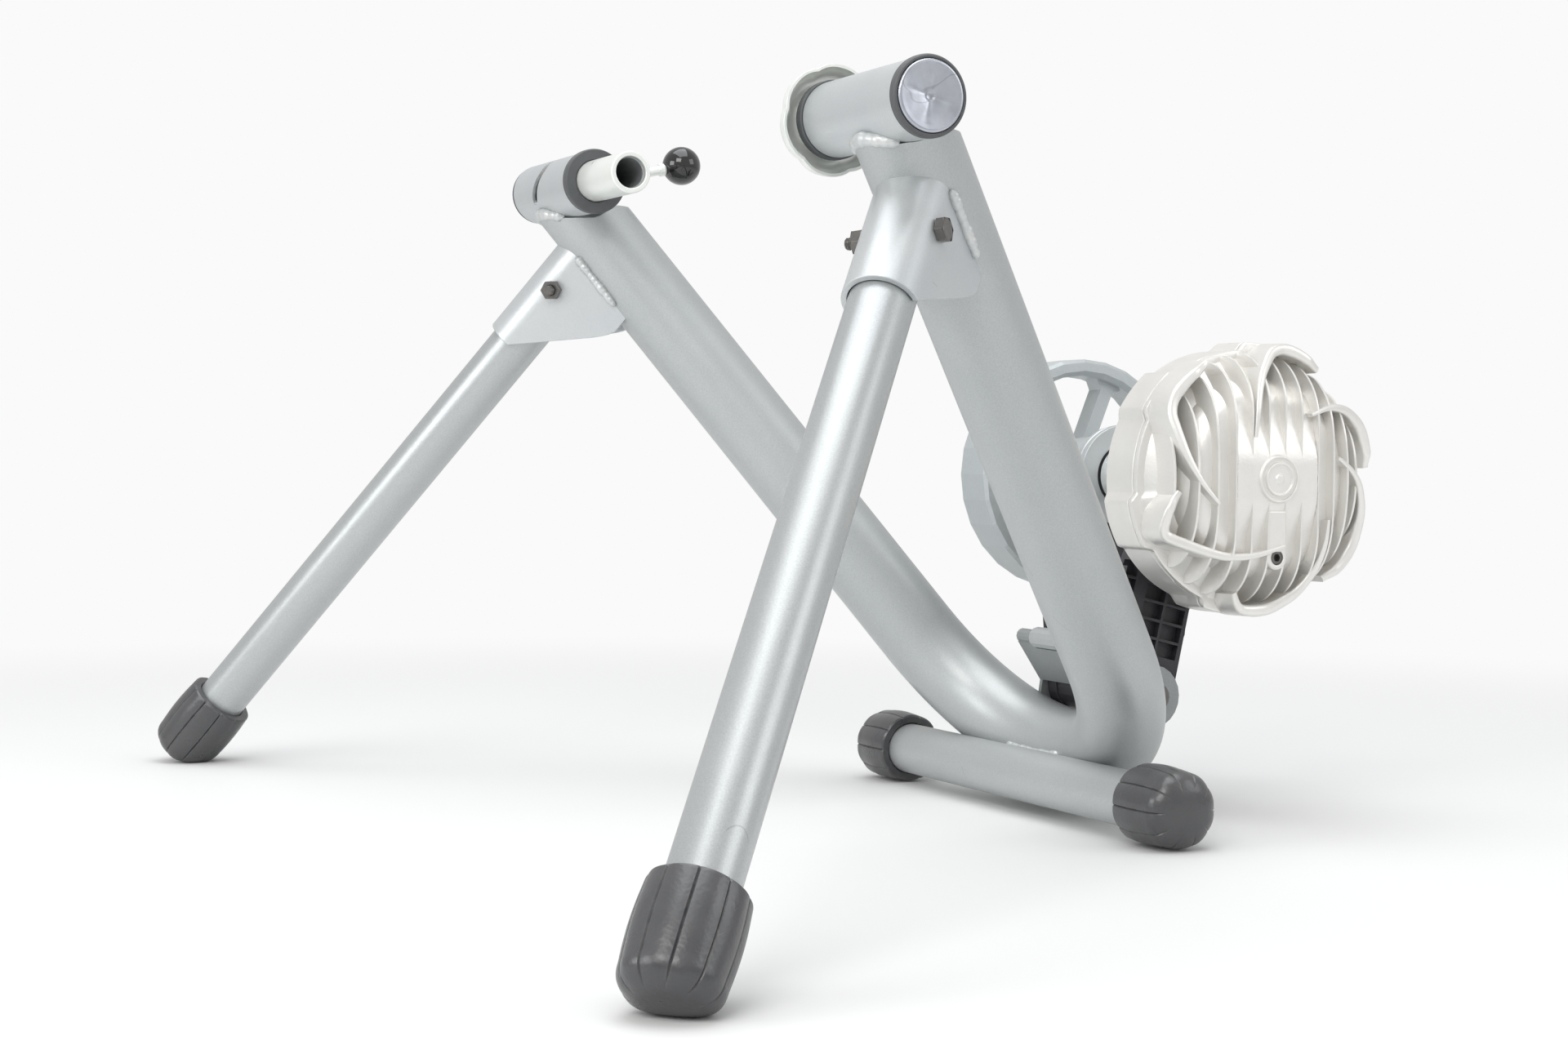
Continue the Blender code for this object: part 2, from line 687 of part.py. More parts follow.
def cut_lever_slot(head):
    radius = HEAD_R - HEAD_WALL / 2
    width = LEVER_ROD_DIAMETER / 2 + LEVER_SLOT_CLEARANCE
    points = [slot_point(LEVER_TURN * i / SLOT_STEPS, radius) for i in range(SLOT_STEPS + 1)]
    slot = swept("lever_slot", extended(points, width), width, None, 3)
    return cut(head, slot)


def make_bush(name, side, x_face, direction, flange):
    """A flanged plastic bush: the flange stands on the head's end, the sleeve goes into it."""
    frame = along((side * x_face, 0, AXLE_HEIGHT), X * side * direction)
    profile = [(flange_r - BUSH_CHAMFER, flange), (flange_r, flange - BUSH_CHAMFER), (flange_r, 0),
               (bush_r, 0), (bush_r, -BUSH_DEPTH), (bush_bore, -BUSH_DEPTH), (bush_bore, flange)]
    return turned(name, profile, frame, DARK_PLASTIC, closed=True)


def make_end_disc(name, side):
    """A pressed steel disc let into the outer bush, with a deep dimple in its middle."""
    edge = END_DISC_DIAMETER / 2 - TOUCH
    crown = END_DISC_CROWN
    thick = END_DISC_THICKNESS
    centre = END_DISC_CENTRE / 2
    dimple = END_DISC_DIMPLE_WIDTH / 2
    frame = along((side * head_outer, 0, AXLE_HEIGHT), X * side)
    floor = -END_DISC_DIMPLE
    profile = [(0, thick + floor), (centre, thick + floor), (dimple, 0), (edge - crown, crown), (edge, 0),
               (edge, -thick), (dimple + crown, -thick), (centre + crown, floor), (0, floor)]
    return turned(name, profile, frame, STEEL)


def make_outer_end(prefix, side):
    """Outer bush with its seat for the end disc."""
    bush = make_bush(prefix + "_outer_bush", side, head_far, 1, OUTER_FLANGE - TOUCH)
    seat = disc(prefix + "_disc_seat", END_DISC_DIAMETER / 2, -END_DISC_THICKNESS - TOUCH, OUTER_FLANGE,
                along((side * head_outer, 0, AXLE_HEIGHT), X * side))
    cut(bush, seat)
    return bush, make_end_disc(prefix + "_end_disc", side)


def make_left_clamp():
    """Steel plunger with its lever: the lever's foot goes through the head's slot into the plunger."""
    mouth = -head_inner + PLUNGER_REACH
    lever_x = -head_inner - LEVER_SETBACK
    frame = along(AXLE, X)
    plunger = ring("clamp_plunger", PLUNGER_BORE / 2, PLUNGER_R, mouth - PLUNGER_LENGTH, mouth, frame, ZINC)
    radial = Vector((0, cos(LEVER_ANGLE), sin(LEVER_ANGLE)))
    lever_frame = along((lever_x, 0, AXLE_HEIGHT), radial, X)
    rod_r = LEVER_ROD_DIAMETER / 2
    knob_r = LEVER_KNOB_DIAMETER / 2
    cut(plunger, disc("lever_foot_hole", rod_r + TOUCH, 0, PLUNGER_R * 2, lever_frame, None, SMALL_STEPS))
    rod = disc("clamp_lever_rod", rod_r, PLUNGER_BORE / 2, LEVER_LENGTH, lever_frame, STEEL, SMALL_STEPS)
    knob_frame = lever_frame @ Matrix.Translation((0, 0, LEVER_LENGTH))
    knob = make_ball("lever_knob", knob_r, knob_frame, GLOSS_BLACK)
    cut(knob, disc("lever_knob_hole", rod_r + TOUCH, -knob_r * 2, TOUCH, knob_frame, None, SMALL_STEPS))
    washer_x = lever_x + rod_r + LEVER_SLOT_CLEARANCE + CLAMP_TRAVEL
    washer = ring("clamp_thrust_washer", PLUNGER_R + TOUCH, HEAD_R - HEAD_WALL - TOUCH,
                  washer_x, washer_x + THRUST_WASHER_THICKNESS, frame, BRASS)
    return plunger, rod, knob, washer


def make_ball(name, radius, frame, finish=None):
    mesh = bpy.data.meshes.new(name)
    shape = bmesh.new()
    bmesh.ops.create_uvsphere(shape, u_segments=ROUND_STEPS, v_segments=SMALL_STEPS, radius=radius)
    shape.to_mesh(mesh)
    shape.free()
    mesh.shade_smooth()
    return link(name, mesh, frame, finish)


def make_right_clamp():
    """Threaded cup in the right head and the star nut that winds it in and out."""
    frame = along(AXLE, -X)
    mouth = -head_inner + CUP_REACH
    cup = ring("adjuster_cup", CUP_BORE / 2, CUP_R, mouth - CUP_LENGTH, mouth, frame, ZINC)
    nut_frame = along((head_inner - TOUCH, 0, AXLE_HEIGHT), -X)
    radius = STAR_NUT_DIAMETER / 2 - STAR_NUT_LOBE_DEPTH
    count = STAR_NUT_LOBES * 8
    outline = []
    for i in range(count):
        angle = 2 * pi * i / count
        reach_here = radius + STAR_NUT_LOBE_DEPTH * cos(STAR_NUT_LOBES * angle)
        outline.append((reach_here * cos(angle), reach_here * sin(angle)))
    nut = plate("star_nut", outline, STAR_NUT_PLATE,
                nut_frame @ Matrix.Translation((0, 0, STAR_NUT_HUB_LENGTH / 2)), ZINC)
    hub = disc("star_nut_hub", STAR_NUT_HUB_DIAMETER / 2, 0, STAR_NUT_HUB_LENGTH, nut_frame)
    bore = disc("star_nut_bore", CUP_R + TOUCH, -STAR_NUT_HUB_LENGTH, STAR_NUT_HUB_LENGTH * 2, nut_frame)
    join(nut, hub)
    cut(nut, bore)
    return cup, nut


def make_leg(side, name):
    """Leg tube, its top cut to a ball about its bolt so that it swings clear of its bracket."""
    at = mirrored(leg_pivot, side)
    down = mirrored(leg_dir, side)
    bolt_axis = mirrored(fold_axis, side)
    frame = along(at, -down, bolt_axis)
    end = -(leg_length + FOOT_R - FOOT_WALL_BELOW_TUBE - TOUCH)
    tube = ring(name, LEG_R - LEG_WALL, LEG_R, end, LEG_R, frame, PAINT)
    swing = along(at, bolt_axis)
    zone = LEG_R * 4
    trim = block(name + "_top_zone", (zone, zone, zone), frame @ Matrix.Translation((0, 0, zone / 2)))
    cut(trim, make_ball(name + "_top_ball", LEG_R + TOUCH, spun(frame, EDGE_OFFSET)))
    hole = disc(name + "_bolt_hole", PIVOT_SLEEVE_DIAMETER / 2 + TOUCH, -LEG_R * 1.5, LEG_R * 1.5,
                swing, None, SMALL_STEPS)
    return cut(tube, trim, hole)


def make_leg_foot(side, name):
    at = mirrored(foot_point, side)
    frame = along(at, mirrored(leg_dir, side))
    tube_end = FOOT_R - FOOT_WALL_BELOW_TUBE
    foot = rubber_cup(name, LEG_R + TOUCH, tube_end, LEG_FOOT_SHOULDER, -FOOT_SLEEVE, frame)
    return cut(foot, floor_cutter())


bracket_inner = LEG_R + BRACKET_CLEARANCE
bracket_outer = bracket_inner + BRACKET_SHEET


def make_leg_bracket(side, name, clearance):
    """Pressed channel round the top of a leg: round closed back, cheeks that run to the arm."""
    at = mirrored(leg_pivot, side)
    down = mirrored(leg_dir, side)
    inn = mirrored(inward, side)
    section = basis(at, inn, down.cross(inn))
    depth = BRACKET_REACH * 1.5
    length = BRACKET_LENGTH * 2

    def channel(tag, half, over, finish=None):
        outline = arc((0, 0), half, pi / 2, 3 * pi / 2, 12) + [(depth + over, -half), (depth + over, half)]
        return plate(name + tag, outline, (length + over) * 2, section, finish)

    bracket = channel("", bracket_outer, 0, PAINT)
    cut(bracket, channel("_inside", bracket_inner, BRACKET_REACH), solver="MANIFOLD")
    back = -bracket_outer * 2
    outline = rounded([(back, -BRACKET_LENGTH, 0), (BRACKET_REACH, -BRACKET_LENGTH, 0),
                       (BRACKET_REACH, -BRACKET_CORNER_RISE, BRACKET_CORNER),
                       (0, BRACKET_LENGTH, 0), (back, BRACKET_LENGTH, 0)])
    side_frame = basis(at, inn, down)
    keep(bracket, plate(name + "_side_shape", outline, bracket_outer * 4, side_frame), "MANIFOLD")
    weld_drop = MAIN_R + LEG_R + LEG_FOLD_GAP - sqrt(MAIN_R ** 2 - bracket_outer ** 2)
    arm = mirrored(arm_dir, side)
    off = mirrored(off_arm, side)
    top_centre = at - off * (weld_drop + FAR / 2)
    cut(bracket, block(name + "_top_trim", (FAR, FAR, FAR), basis(top_centre, arm, off)), solver="MANIFOLD")
    hole = disc(name + "_bolt_hole", PIVOT_BOLT_DIAMETER / 2 + TOUCH, -bracket_outer * 2, bracket_outer * 2,
                along(at, mirrored(fold_axis, side)), None, SMALL_STEPS)
    return cut(bracket, clearance, hole, solver="MANIFOLD")


def make_pivot_fasteners(side, prefix):
    """The bolt a leg folds about, with its nut and the sleeve inside the leg tube."""
    bolt_r = PIVOT_BOLT_DIAMETER / 2
    frame = along(mirrored(leg_pivot, side), mirrored(fold_axis, side), leg_dir)
    seat = bracket_outer + TOUCH
    bolt = plate(prefix + "_pivot_bolt", hexagon(PIVOT_HEX), PIVOT_HEAD_HEIGHT,
                 frame @ Matrix.Translation((0, 0, seat + PIVOT_HEAD_HEIGHT / 2)), BLACK_STEEL)
    end = -(seat + PIVOT_NUT_HEIGHT + PIVOT_THREAD_END)
    join(bolt, disc(prefix + "_bolt_shank", bolt_r, end, seat + PIVOT_HEAD_HEIGHT / 2, frame,
                    None, SMALL_STEPS))
    nut = plate(prefix + "_pivot_nut", hexagon(PIVOT_HEX), PIVOT_NUT_HEIGHT,
                frame @ Matrix.Translation((0, 0, -seat - PIVOT_NUT_HEIGHT / 2)), BLACK_STEEL)
    cut(nut, disc(prefix + "_nut_hole", bolt_r + TOUCH, end * 2, 0, frame, None, SMALL_STEPS))
    sleeve_r = PIVOT_SLEEVE_DIAMETER / 2
    half = sqrt(bracket_inner ** 2 - sleeve_r ** 2) - 2 * TOUCH
    sleeve = ring(prefix + "_pivot_sleeve", bolt_r + TOUCH, sleeve_r, -half, half, frame, STEEL, SMALL_STEPS)
    return bolt, nut, sleeve


def meet(centre_a, radius_a, centre_b, radius_b):
    """The higher point, nearer the front, that lies at two distances from two centres."""
    gap = centre_b - centre_a
    distance = gap.length
    share = (radius_a ** 2 - radius_b ** 2 + distance ** 2) / (2 * distance)
    height = sqrt(radius_a ** 2 - share ** 2)
    direction = gap / distance
    return centre_a + direction * share + X.cross(direction) * height


def add_cheek_beads(bracket, side):
    """A weld bead along each cheek, laid on the side of the arm."""
    bead = WELD_BEAD_RADIUS
    arm = mirrored(arm_dir, side)
    off = mirrored(off_arm, side)
    cheek = bracket_outer + bead - WELD_BITE
    drop = sqrt((MAIN_R + bead + TOUCH) ** 2 - cheek ** 2)
    for face in (-1, 1):
        start = mirrored(arm_top, side) + mirrored(fold_axis, side) * cheek * face + off * drop
        line = [start + arm * (LEG_PIVOT_DROP + step)
                for step in (-CHEEK_BEAD_ABOVE_BOLT, CHEEK_BEAD_BELOW_BOLT)]
        join(bracket, swept("cheek_bead", line, bead, None, 1), solver="MANIFOLD")
    return bracket


def add_bar_bead(bar):
    """A weld bead in the notch above the rear bar, in front of the bend."""
    bead = WELD_BEAD_RADIUS
    line = []
    for i in range(-2, 3):
        x = BAR_BEAD_LENGTH / 4 * i
        bar_centre = Vector((x, bar_back, bar_height))
        line.append(meet(bar_centre, BAR_R + bead - WELD_BITE, bend_point(x), MAIN_R + bead + TOUCH))
    return join(bar, swept("bar_bead", line, bead, None, 1))


def add_head_bead(head, side):
    """A weld bead along the front of the head, just above the arm's trimmed rim."""
    bead = HEAD_BEAD_RADIUS
    up = bead + TOUCH - ARM_TOP_DROP
    ahead = sqrt((HEAD_R + bead - WELD_BITE) ** 2 - up ** 2)
    line = [(side * (ARM_SPREAD / 2 + step), -ahead, AXLE_HEIGHT + up)
            for step in (-HEAD_BEAD_INNER, HEAD_BEAD_OUTER)]
    return join(head, swept("head_bead", line, bead, None, 2))


def make_unit_bracket(clearance):
    """Pressed bracket on the bend: two cheeks with ears for the yoke's pivot, joined by a front web."""
    web_top = (pivot_y - WEB_TOP_AHEAD, pivot_z + WEB_TOP_UP)
    web_foot = (pivot_y - WEB_FOOT_AHEAD, pivot_z + WEB_FOOT_UP)
    knuckle = KNUCKLE_DIAMETER / 2
    ear = arc((pivot_y, pivot_z), BRACKET_EAR_RADIUS, -EAR_START, EAR_END, SMALL_STEPS)
    on_bend = (bend_bottom.y, BEND_AXIS_HEIGHT)
    outline = [web_top, web_foot, on_bend] + ear + [(barrel_y + knuckle, web_top[1])]
    cheek_x = yoke_face + RUNNING_GAP + BRACKET_CHEEK / 2
    bracket = plate("unit_bracket", outline, BRACKET_CHEEK, across(-cheek_x), PAINT)
    right = plate("right_cheek", outline, BRACKET_CHEEK, across(cheek_x))
    down = Vector((0, web_foot[0] - web_top[0], web_foot[1] - web_top[1]))
    middle = Vector((0, (web_top[0] + web_foot[0]) / 2, (web_top[1] + web_foot[1]) / 2))
    frame = basis(middle, X, down)
    inside = frame.col[2].to_3d() * (-1 if frame.col[2].y < 0 else 1)
    frame.translation = middle + inside * BRACKET_CHEEK / 2
    full = 2 * cheek_x + BRACKET_CHEEK
    web = block("web", (full - BRACKET_CHEEK, down.length, BRACKET_CHEEK), frame)
    join(bracket, right, web)
    knuckle_length = (full - BARREL_LENGTH) / 2 - TOUCH
    for side in (-1, 1):
        eye = disc("knuckle", knuckle, full / 2 - knuckle_length, full / 2 - BRACKET_CHEEK / 2,
                   along((0, barrel_y, barrel_z), X * side), None, SMALL_STEPS)
        join(bracket, eye)
    pin_hole = disc("knuckle_hole", KNUCKLE_PIN_DIAMETER / 2 + TOUCH, -FAR, FAR,
                    along((0, barrel_y, barrel_z), X), None, SMALL_STEPS)
    barrel_room = disc("barrel_room", BARREL_DIAMETER / 2 + RUNNING_GAP, -BARREL_LENGTH / 2 - TOUCH,
                       BARREL_LENGTH / 2 + TOUCH, along((0, barrel_y, barrel_z), X), None, SMALL_STEPS)
    bolt_hole = disc("yoke_bolt_hole", YOKE_PIVOT_BOLT_DIAMETER / 2 + TOUCH, -FAR, FAR,
                     along((0, pivot_y, pivot_z), X), None, SMALL_STEPS)
    return cut(bracket, barrel_room, pin_hole, bolt_hole, clearance, solver="MANIFOLD")


def make_yoke():
    """Black ribbed yoke: two arms, a round foot about the pivot and a round bar for the tension screw."""
    foot = arc(on_yoke(0, 0), YOKE_FOOT_RADIUS, pi, 2 * pi, SMALL_STEPS)
    ring_arc = arc(on_yoke(yoke_height, 0), YOKE_RING_RADIUS, -RING_SHOULDER, pi + RING_SHOULDER, ROUND_STEPS)
    waist_back, waist_front = on_yoke(YOKE_WAIST, YOKE_REAR_WIDTH), on_yoke(YOKE_WAIST, -YOKE_FRONT_WIDTH)
    outline = foot + [waist_back] + ring_arc + [waist_front]
    arm_x = yoke_face - YOKE_ARM_THICKNESS / 2
    yoke = plate("yoke", outline, YOKE_ARM_THICKNESS, across(-arm_x), BLACK_PLASTIC)
    join(yoke, plate("yoke_right_arm", outline, YOKE_ARM_THICKNESS, across(arm_x)))
    join(yoke, disc("yoke_foot_tube", YOKE_FOOT_RADIUS - YOKE_FOOT_STEP, -arm_x, arm_x,
                    along((0, pivot_y, pivot_z), X)))
    join(yoke, disc("yoke_crossbar", CROSSBAR_DIAMETER / 2, -arm_x, arm_x,
                    along((0, crossbar_y, crossbar_z), X), None, SMALL_STEPS))
    back_dir, up_dir = (0, *yoke_back), (0, *yoke_up)
    for side in (-1, 1):
        for (front, back), rows in zip(YOKE_POCKET_COLUMNS, YOKE_POCKET_ROWS):
            size = (back - front, YOKE_POCKET_PITCH - YOKE_RIB, YOKE_POCKET_DEPTH * 2)
            for row in rows:
                y, z = on_yoke(YOKE_POCKET_START + YOKE_POCKET_PITCH * (row + 0.5), (front + back) / 2)
                cut(yoke, block("yoke_pocket", size, basis((side * yoke_face, y, z), back_dir, up_dir)))
    pivot_hole = disc("yoke_pivot_hole", YOKE_PIVOT_BOLT_DIAMETER / 2 + RUNNING_GAP, -FAR, FAR,
                      along((0, pivot_y, pivot_z), X), None, SMALL_STEPS)
    bearing_hole = disc("yoke_bearing_hole", BEARING_DIAMETER / 2 + TOUCH, -FAR, FAR, along(roller_axis, X))
    screw_hole = disc("yoke_screw_hole", TENSION_BOLT_DIAMETER / 2 + TENSION_HOLE_CLEARANCE,
                      -CROSSBAR_DIAMETER, CROSSBAR_DIAMETER,
                      along((0, crossbar_y, crossbar_z), screw_dir), None, SMALL_STEPS)
    return cut(yoke, pivot_hole, bearing_hole, screw_hole)


def make_yoke_pivot():
    """Pivot bolt through both ears, with a nut under a plastic cap on the left."""
    frame = along((0, pivot_y, pivot_z), X)
    seat = yoke_face + RUNNING_GAP + BRACKET_CHEEK + TOUCH
    bolt_r = YOKE_PIVOT_BOLT_DIAMETER / 2
    head_r = YOKE_PIVOT_HEAD_DIAMETER / 2
    top = seat + YOKE_PIVOT_HEAD_HEIGHT
    bevel = YOKE_PIVOT_HEAD_BEVEL
    socket = YOKE_PIVOT_SOCKET / 2
    socket_floor = top - YOKE_PIVOT_SOCKET_DEPTH
    profile = [(0, socket_floor), (socket, socket_floor), (socket, top), (head_r - bevel, top),
               (head_r, top - bevel), (head_r, seat), (bolt_r, seat), (bolt_r, -top), (0, -top)]
    bolt = turned("yoke_pivot_bolt", profile, frame, BLACK_STEEL)
    nut = plate("yoke_pivot_nut", hexagon(YOKE_PIVOT_HEAD_DIAMETER), YOKE_PIVOT_HEAD_HEIGHT,
                frame @ Matrix.Translation((0, 0, -seat - YOKE_PIVOT_HEAD_HEIGHT / 2)), ZINC)
    cut(nut, disc("yoke_nut_hole", bolt_r + TOUCH, -FAR, FAR, frame, None, SMALL_STEPS))
    cap_r = YOKE_PIVOT_CAP_DIAMETER / 2
    cap_top = seat + YOKE_PIVOT_CAP_HEIGHT
    cap_bevel = YOKE_PIVOT_CAP_BEVEL
    bump = YOKE_PIVOT_CAP_BUMP / 2
    bump_top = cap_top + YOKE_PIVOT_CAP_BUMP_HEIGHT
    room = YOKE_PIVOT_HEAD_DIAMETER / sqrt(3) + TOUCH
    room_top = top + TOUCH
    profile = [(0, bump_top), (bump / 2, bump_top), (bump, cap_top), (cap_r - cap_bevel, cap_top),
               (cap_r, cap_top - cap_bevel), (cap_r, seat), (room, seat), (room, room_top), (0, room_top)]
    cap = turned("yoke_pivot_cap", profile, along((0, pivot_y, pivot_z), -X), BLACK_PLASTIC)
    return bolt, nut, cap


def make_tension_screw():
    """Swivel barrel in the bracket's knuckles, its pin and screw, and the lobed knob behind the yoke."""
    barrel_frame = along((0, barrel_y, barrel_z), X)
    screw_frame = along((0, barrel_y, barrel_z), screw_dir)
    bolt_r = TENSION_BOLT_DIAMETER / 2
    barrel = disc("tension_barrel", BARREL_DIAMETER / 2, -BARREL_LENGTH / 2, BARREL_LENGTH / 2,
                  barrel_frame, ZINC, SMALL_STEPS)
    pin_r = KNUCKLE_PIN_DIAMETER / 2
    cut(barrel, disc("barrel_pin_hole", pin_r + RUNNING_GAP, -FAR, FAR, barrel_frame, None, SMALL_STEPS))
    cut(barrel, disc("barrel_screw_hole", bolt_r + TOUCH, 0, BARREL_DIAMETER, screw_frame, None, SMALL_STEPS),
        solver="MANIFOLD")
    pin_end = yoke_face + RUNNING_GAP + BRACKET_CHEEK - KNUCKLE_PIN_INSET
    pin = disc("knuckle_pin", pin_r, -pin_end, pin_end, barrel_frame, BLACK_STEEL, SMALL_STEPS)
    reach = hypot(crossbar_y - barrel_y, crossbar_z - barrel_z)
    washer_at = reach + CROSSBAR_DIAMETER / 2 + TENSION_SEAT_GAP
    knob_at = washer_at + TENSION_WASHER_THICKNESS + TOUCH
    screw_end = knob_at + TENSION_KNOB_LENGTH - TENSION_KNOB_FLOOR - TENSION_SPARE_THREAD
    screw = disc("tension_screw", bolt_r, pin_r + TENSION_PIN_GAP, screw_end, screw_frame, ZINC, SMALL_STEPS)
    washer = ring("tension_washer", bolt_r + TOUCH, TENSION_WASHER_DIAMETER / 2, washer_at,
                  washer_at + TENSION_WASHER_THICKNESS, screw_frame, ZINC)
    radius = TENSION_KNOB_DIAMETER / 2
    count = TENSION_KNOB_LOBES * 6
    outline = []
    for i in range(count):
        angle = 2 * pi * i / count
        here = radius - TENSION_KNOB_LOBE_DEPTH * (1 - cos(TENSION_KNOB_LOBES * angle))
        outline.append((here * cos(angle), here * sin(angle)))
    knob = plate("tension_knob", outline, TENSION_KNOB_LENGTH,
                 screw_frame @ Matrix.Translation((0, 0, knob_at + TENSION_KNOB_LENGTH / 2)), BLACK_PLASTIC)
    thread_end = screw_end + TENSION_SPARE_THREAD
    cut(knob, disc("knob_thread", bolt_r + TOUCH, 0, thread_end, screw_frame, None, SMALL_STEPS))
    return barrel, pin, screw, washer, knob


def make_rotor():
    """Everything that spins: shaft, roller, flywheel with its nut, and the impeller in the fluid."""
    frame = along(roller_axis, X)
    nut_at = yoke_face + FLYWHEEL_INSET + FLYWHEEL_WIDTH - FLYWHEEL_HUB_RECESS + TOUCH
    shaft_left = -(nut_at + FLYWHEEL_NUT_HEIGHT + FLYWHEEL_THREAD_END)
    shaft_right = housing_back + HOUSING_WALL + IMPELLER_GAP + IMPELLER_DEPTH
    shaft = disc("rotor_shaft", SHAFT_R, shaft_left, shaft_right, frame, STEEL, SMALL_STEPS)
    half = ROLLER_LENGTH / 2
    chamfer = ROLLER_CHAMFER
    bore = SHAFT_R + TOUCH
    profile = [(ROLLER_R - chamfer, half), (ROLLER_R, half - chamfer), (ROLLER_R, chamfer - half),
               (ROLLER_R - chamfer, -half), (bore, -half), (bore, half)]
    roller = turned("roller", profile, frame, STEEL, closed=True)
    wheel = make_flywheel()
    nut = plate("flywheel_nut", hexagon(FLYWHEEL_NUT_HEX), FLYWHEEL_NUT_HEIGHT,
                frame @ Matrix.Translation((0, 0, -nut_at - FLYWHEEL_NUT_HEIGHT / 2)), ZINC)
    cut(nut, disc("flywheel_nut_hole", SHAFT_R + TOUCH, -FAR, 0, frame, None, SMALL_STEPS))
    return shaft, roller, wheel, nut, make_impeller(shaft_right)


def make_flywheel():
    """Painted iron wheel: heavy rim with an inner lip, straight spokes and a long hub."""
    frame = along(roller_axis, -X)
    near = yoke_face + FLYWHEEL_INSET
    far = near + FLYWHEEL_WIDTH
    rim_r = FLYWHEEL_DIAMETER / 2
    bore = rim_r - FLYWHEEL_RIM
    bevel = FLYWHEEL_BEVEL
    lip_r = bore + FLYWHEEL_LIP
    lip = FLYWHEEL_LIP_DEPTH
    profile = [(rim_r - bevel, far), (rim_r, far - bevel), (rim_r, near + bevel), (rim_r - bevel, near),
               (lip_r, near), (bore, near + lip), (bore, far - lip), (lip_r, far)]
    wheel = turned("flywheel", profile, frame, WHEEL_PAINT, WIDE_STEPS, closed=True)
    hub_r = FLYWHEEL_HUB_DIAMETER / 2
    end_r = FLYWHEEL_HUB_END_DIAMETER / 2
    waist_r = FLYWHEEL_HUB_WAIST_DIAMETER / 2
    hub_end = far - FLYWHEEL_HUB_RECESS
    hub_near = yoke_face + FLYWHEEL_HUB_INSET
    hub_bevel = FLYWHEEL_HUB_BEVEL
    profile = [(0, hub_end), (end_r, hub_end), (waist_r, near + FLYWHEEL_SPOKE_FLARE), (hub_r, near),
               (hub_r, hub_near + hub_bevel), (hub_r - hub_bevel, hub_near), (0, hub_near)]
    join(wheel, turned("flywheel_hub", profile, frame))
    half = FLYWHEEL_SPOKE_WIDTH / 2
    wide = half + FLYWHEEL_SPOKE_FLARE
    start, end = hub_r / 2, rim_r - FLYWHEEL_RIM / 2
    outline = [(start, -half), (bore - FLYWHEEL_SPOKE_FLARE, -half), (bore + TOUCH, -wide), (end, -wide),
               (end, wide), (bore + TOUCH, wide), (bore - FLYWHEEL_SPOKE_FLARE, half), (start, half)]
    for i in range(FLYWHEEL_SPOKES):
        angle = FLYWHEEL_SPOKE_ANGLE + 2 * pi * i / FLYWHEEL_SPOKES
        spoke_dir = Vector((0, cos(angle), sin(angle)))
        spoke_frame = basis(roller_axis - X * (near + far) / 2, spoke_dir, X.cross(spoke_dir))
        join(wheel, plate("spoke", outline, FLYWHEEL_SPOKE_DEPTH, spoke_frame))
    return cut(wheel, disc("flywheel_bore", SHAFT_R + TOUCH, 0, FAR, frame, None, SMALL_STEPS))


def make_impeller(shaft_end):
    """Disc with radial blades, which turns in the fluid behind the domed cover."""
    frame = along(roller_axis, X)
    back = shaft_end - IMPELLER_DEPTH
    hub_r = IMPELLER_HUB_DIAMETER / 2
    wheel = disc("impeller", IMPELLER_DIAMETER / 2, back, back + IMPELLER_DISC, frame, DARK_PLASTIC)
    join(wheel, disc("impeller_hub", hub_r, back, shaft_end, frame))
    middle = back + IMPELLER_DISC / 2 + IMPELLER_BLADE_DEPTH / 2
    size = (IMPELLER_BLADE_LENGTH, IMPELLER_BLADE_THICKNESS, IMPELLER_BLADE_DEPTH)
    for i in range(IMPELLER_BLADES):
        angle = 2 * pi * i / IMPELLER_BLADES
        spoke_dir = Vector((0, cos(angle), sin(angle)))
        centre = roller_axis + X * middle + spoke_dir * (IMPELLER_BLADE_INSET + IMPELLER_BLADE_LENGTH / 2)
        join(wheel, block("impeller_blade", size, basis(centre, spoke_dir, X.cross(spoke_dir))))
    return cut(wheel, disc("impeller_bore", SHAFT_R + TOUCH, 0, FAR, frame, None, SMALL_STEPS))


def make_bearings():
    inset = (YOKE_ARM_THICKNESS - BEARING_WIDTH) / 2
    low = yoke_face - YOKE_ARM_THICKNESS + inset
    made = []
    for side, prefix in ((-1, "left"), (1, "right")):
        made.append(ring(prefix + "_bearing", SHAFT_R + RUNNING_GAP, BEARING_DIAMETER / 2,
                         low, low + BEARING_WIDTH, along(roller_axis, X * side), STEEL))
    return made


def on_unit(radius, angle):
    """A Y-Z point by its distance from the roller's axis and its angle up from the rear."""
    return roller_y + radius * cos(angle), roller_z + radius * sin(angle)


def sector(name, start, end, outer, low):
    """A block on the drum's side, between two angles, from a height up to the seam."""
    inner = HOUSING_BACK_DIAMETER / 2 - HOUSING_WALL / 2
    steps = 5
    turn = (end - start) / steps
    outline = [on_unit(outer, start + turn * i) for i in range(steps + 1)]
    outline += [on_unit(inner, end - turn * i) for i in range(steps + 1)]
    return plate(name, outline, housing_seam - low, across((housing_seam + low) / 2))


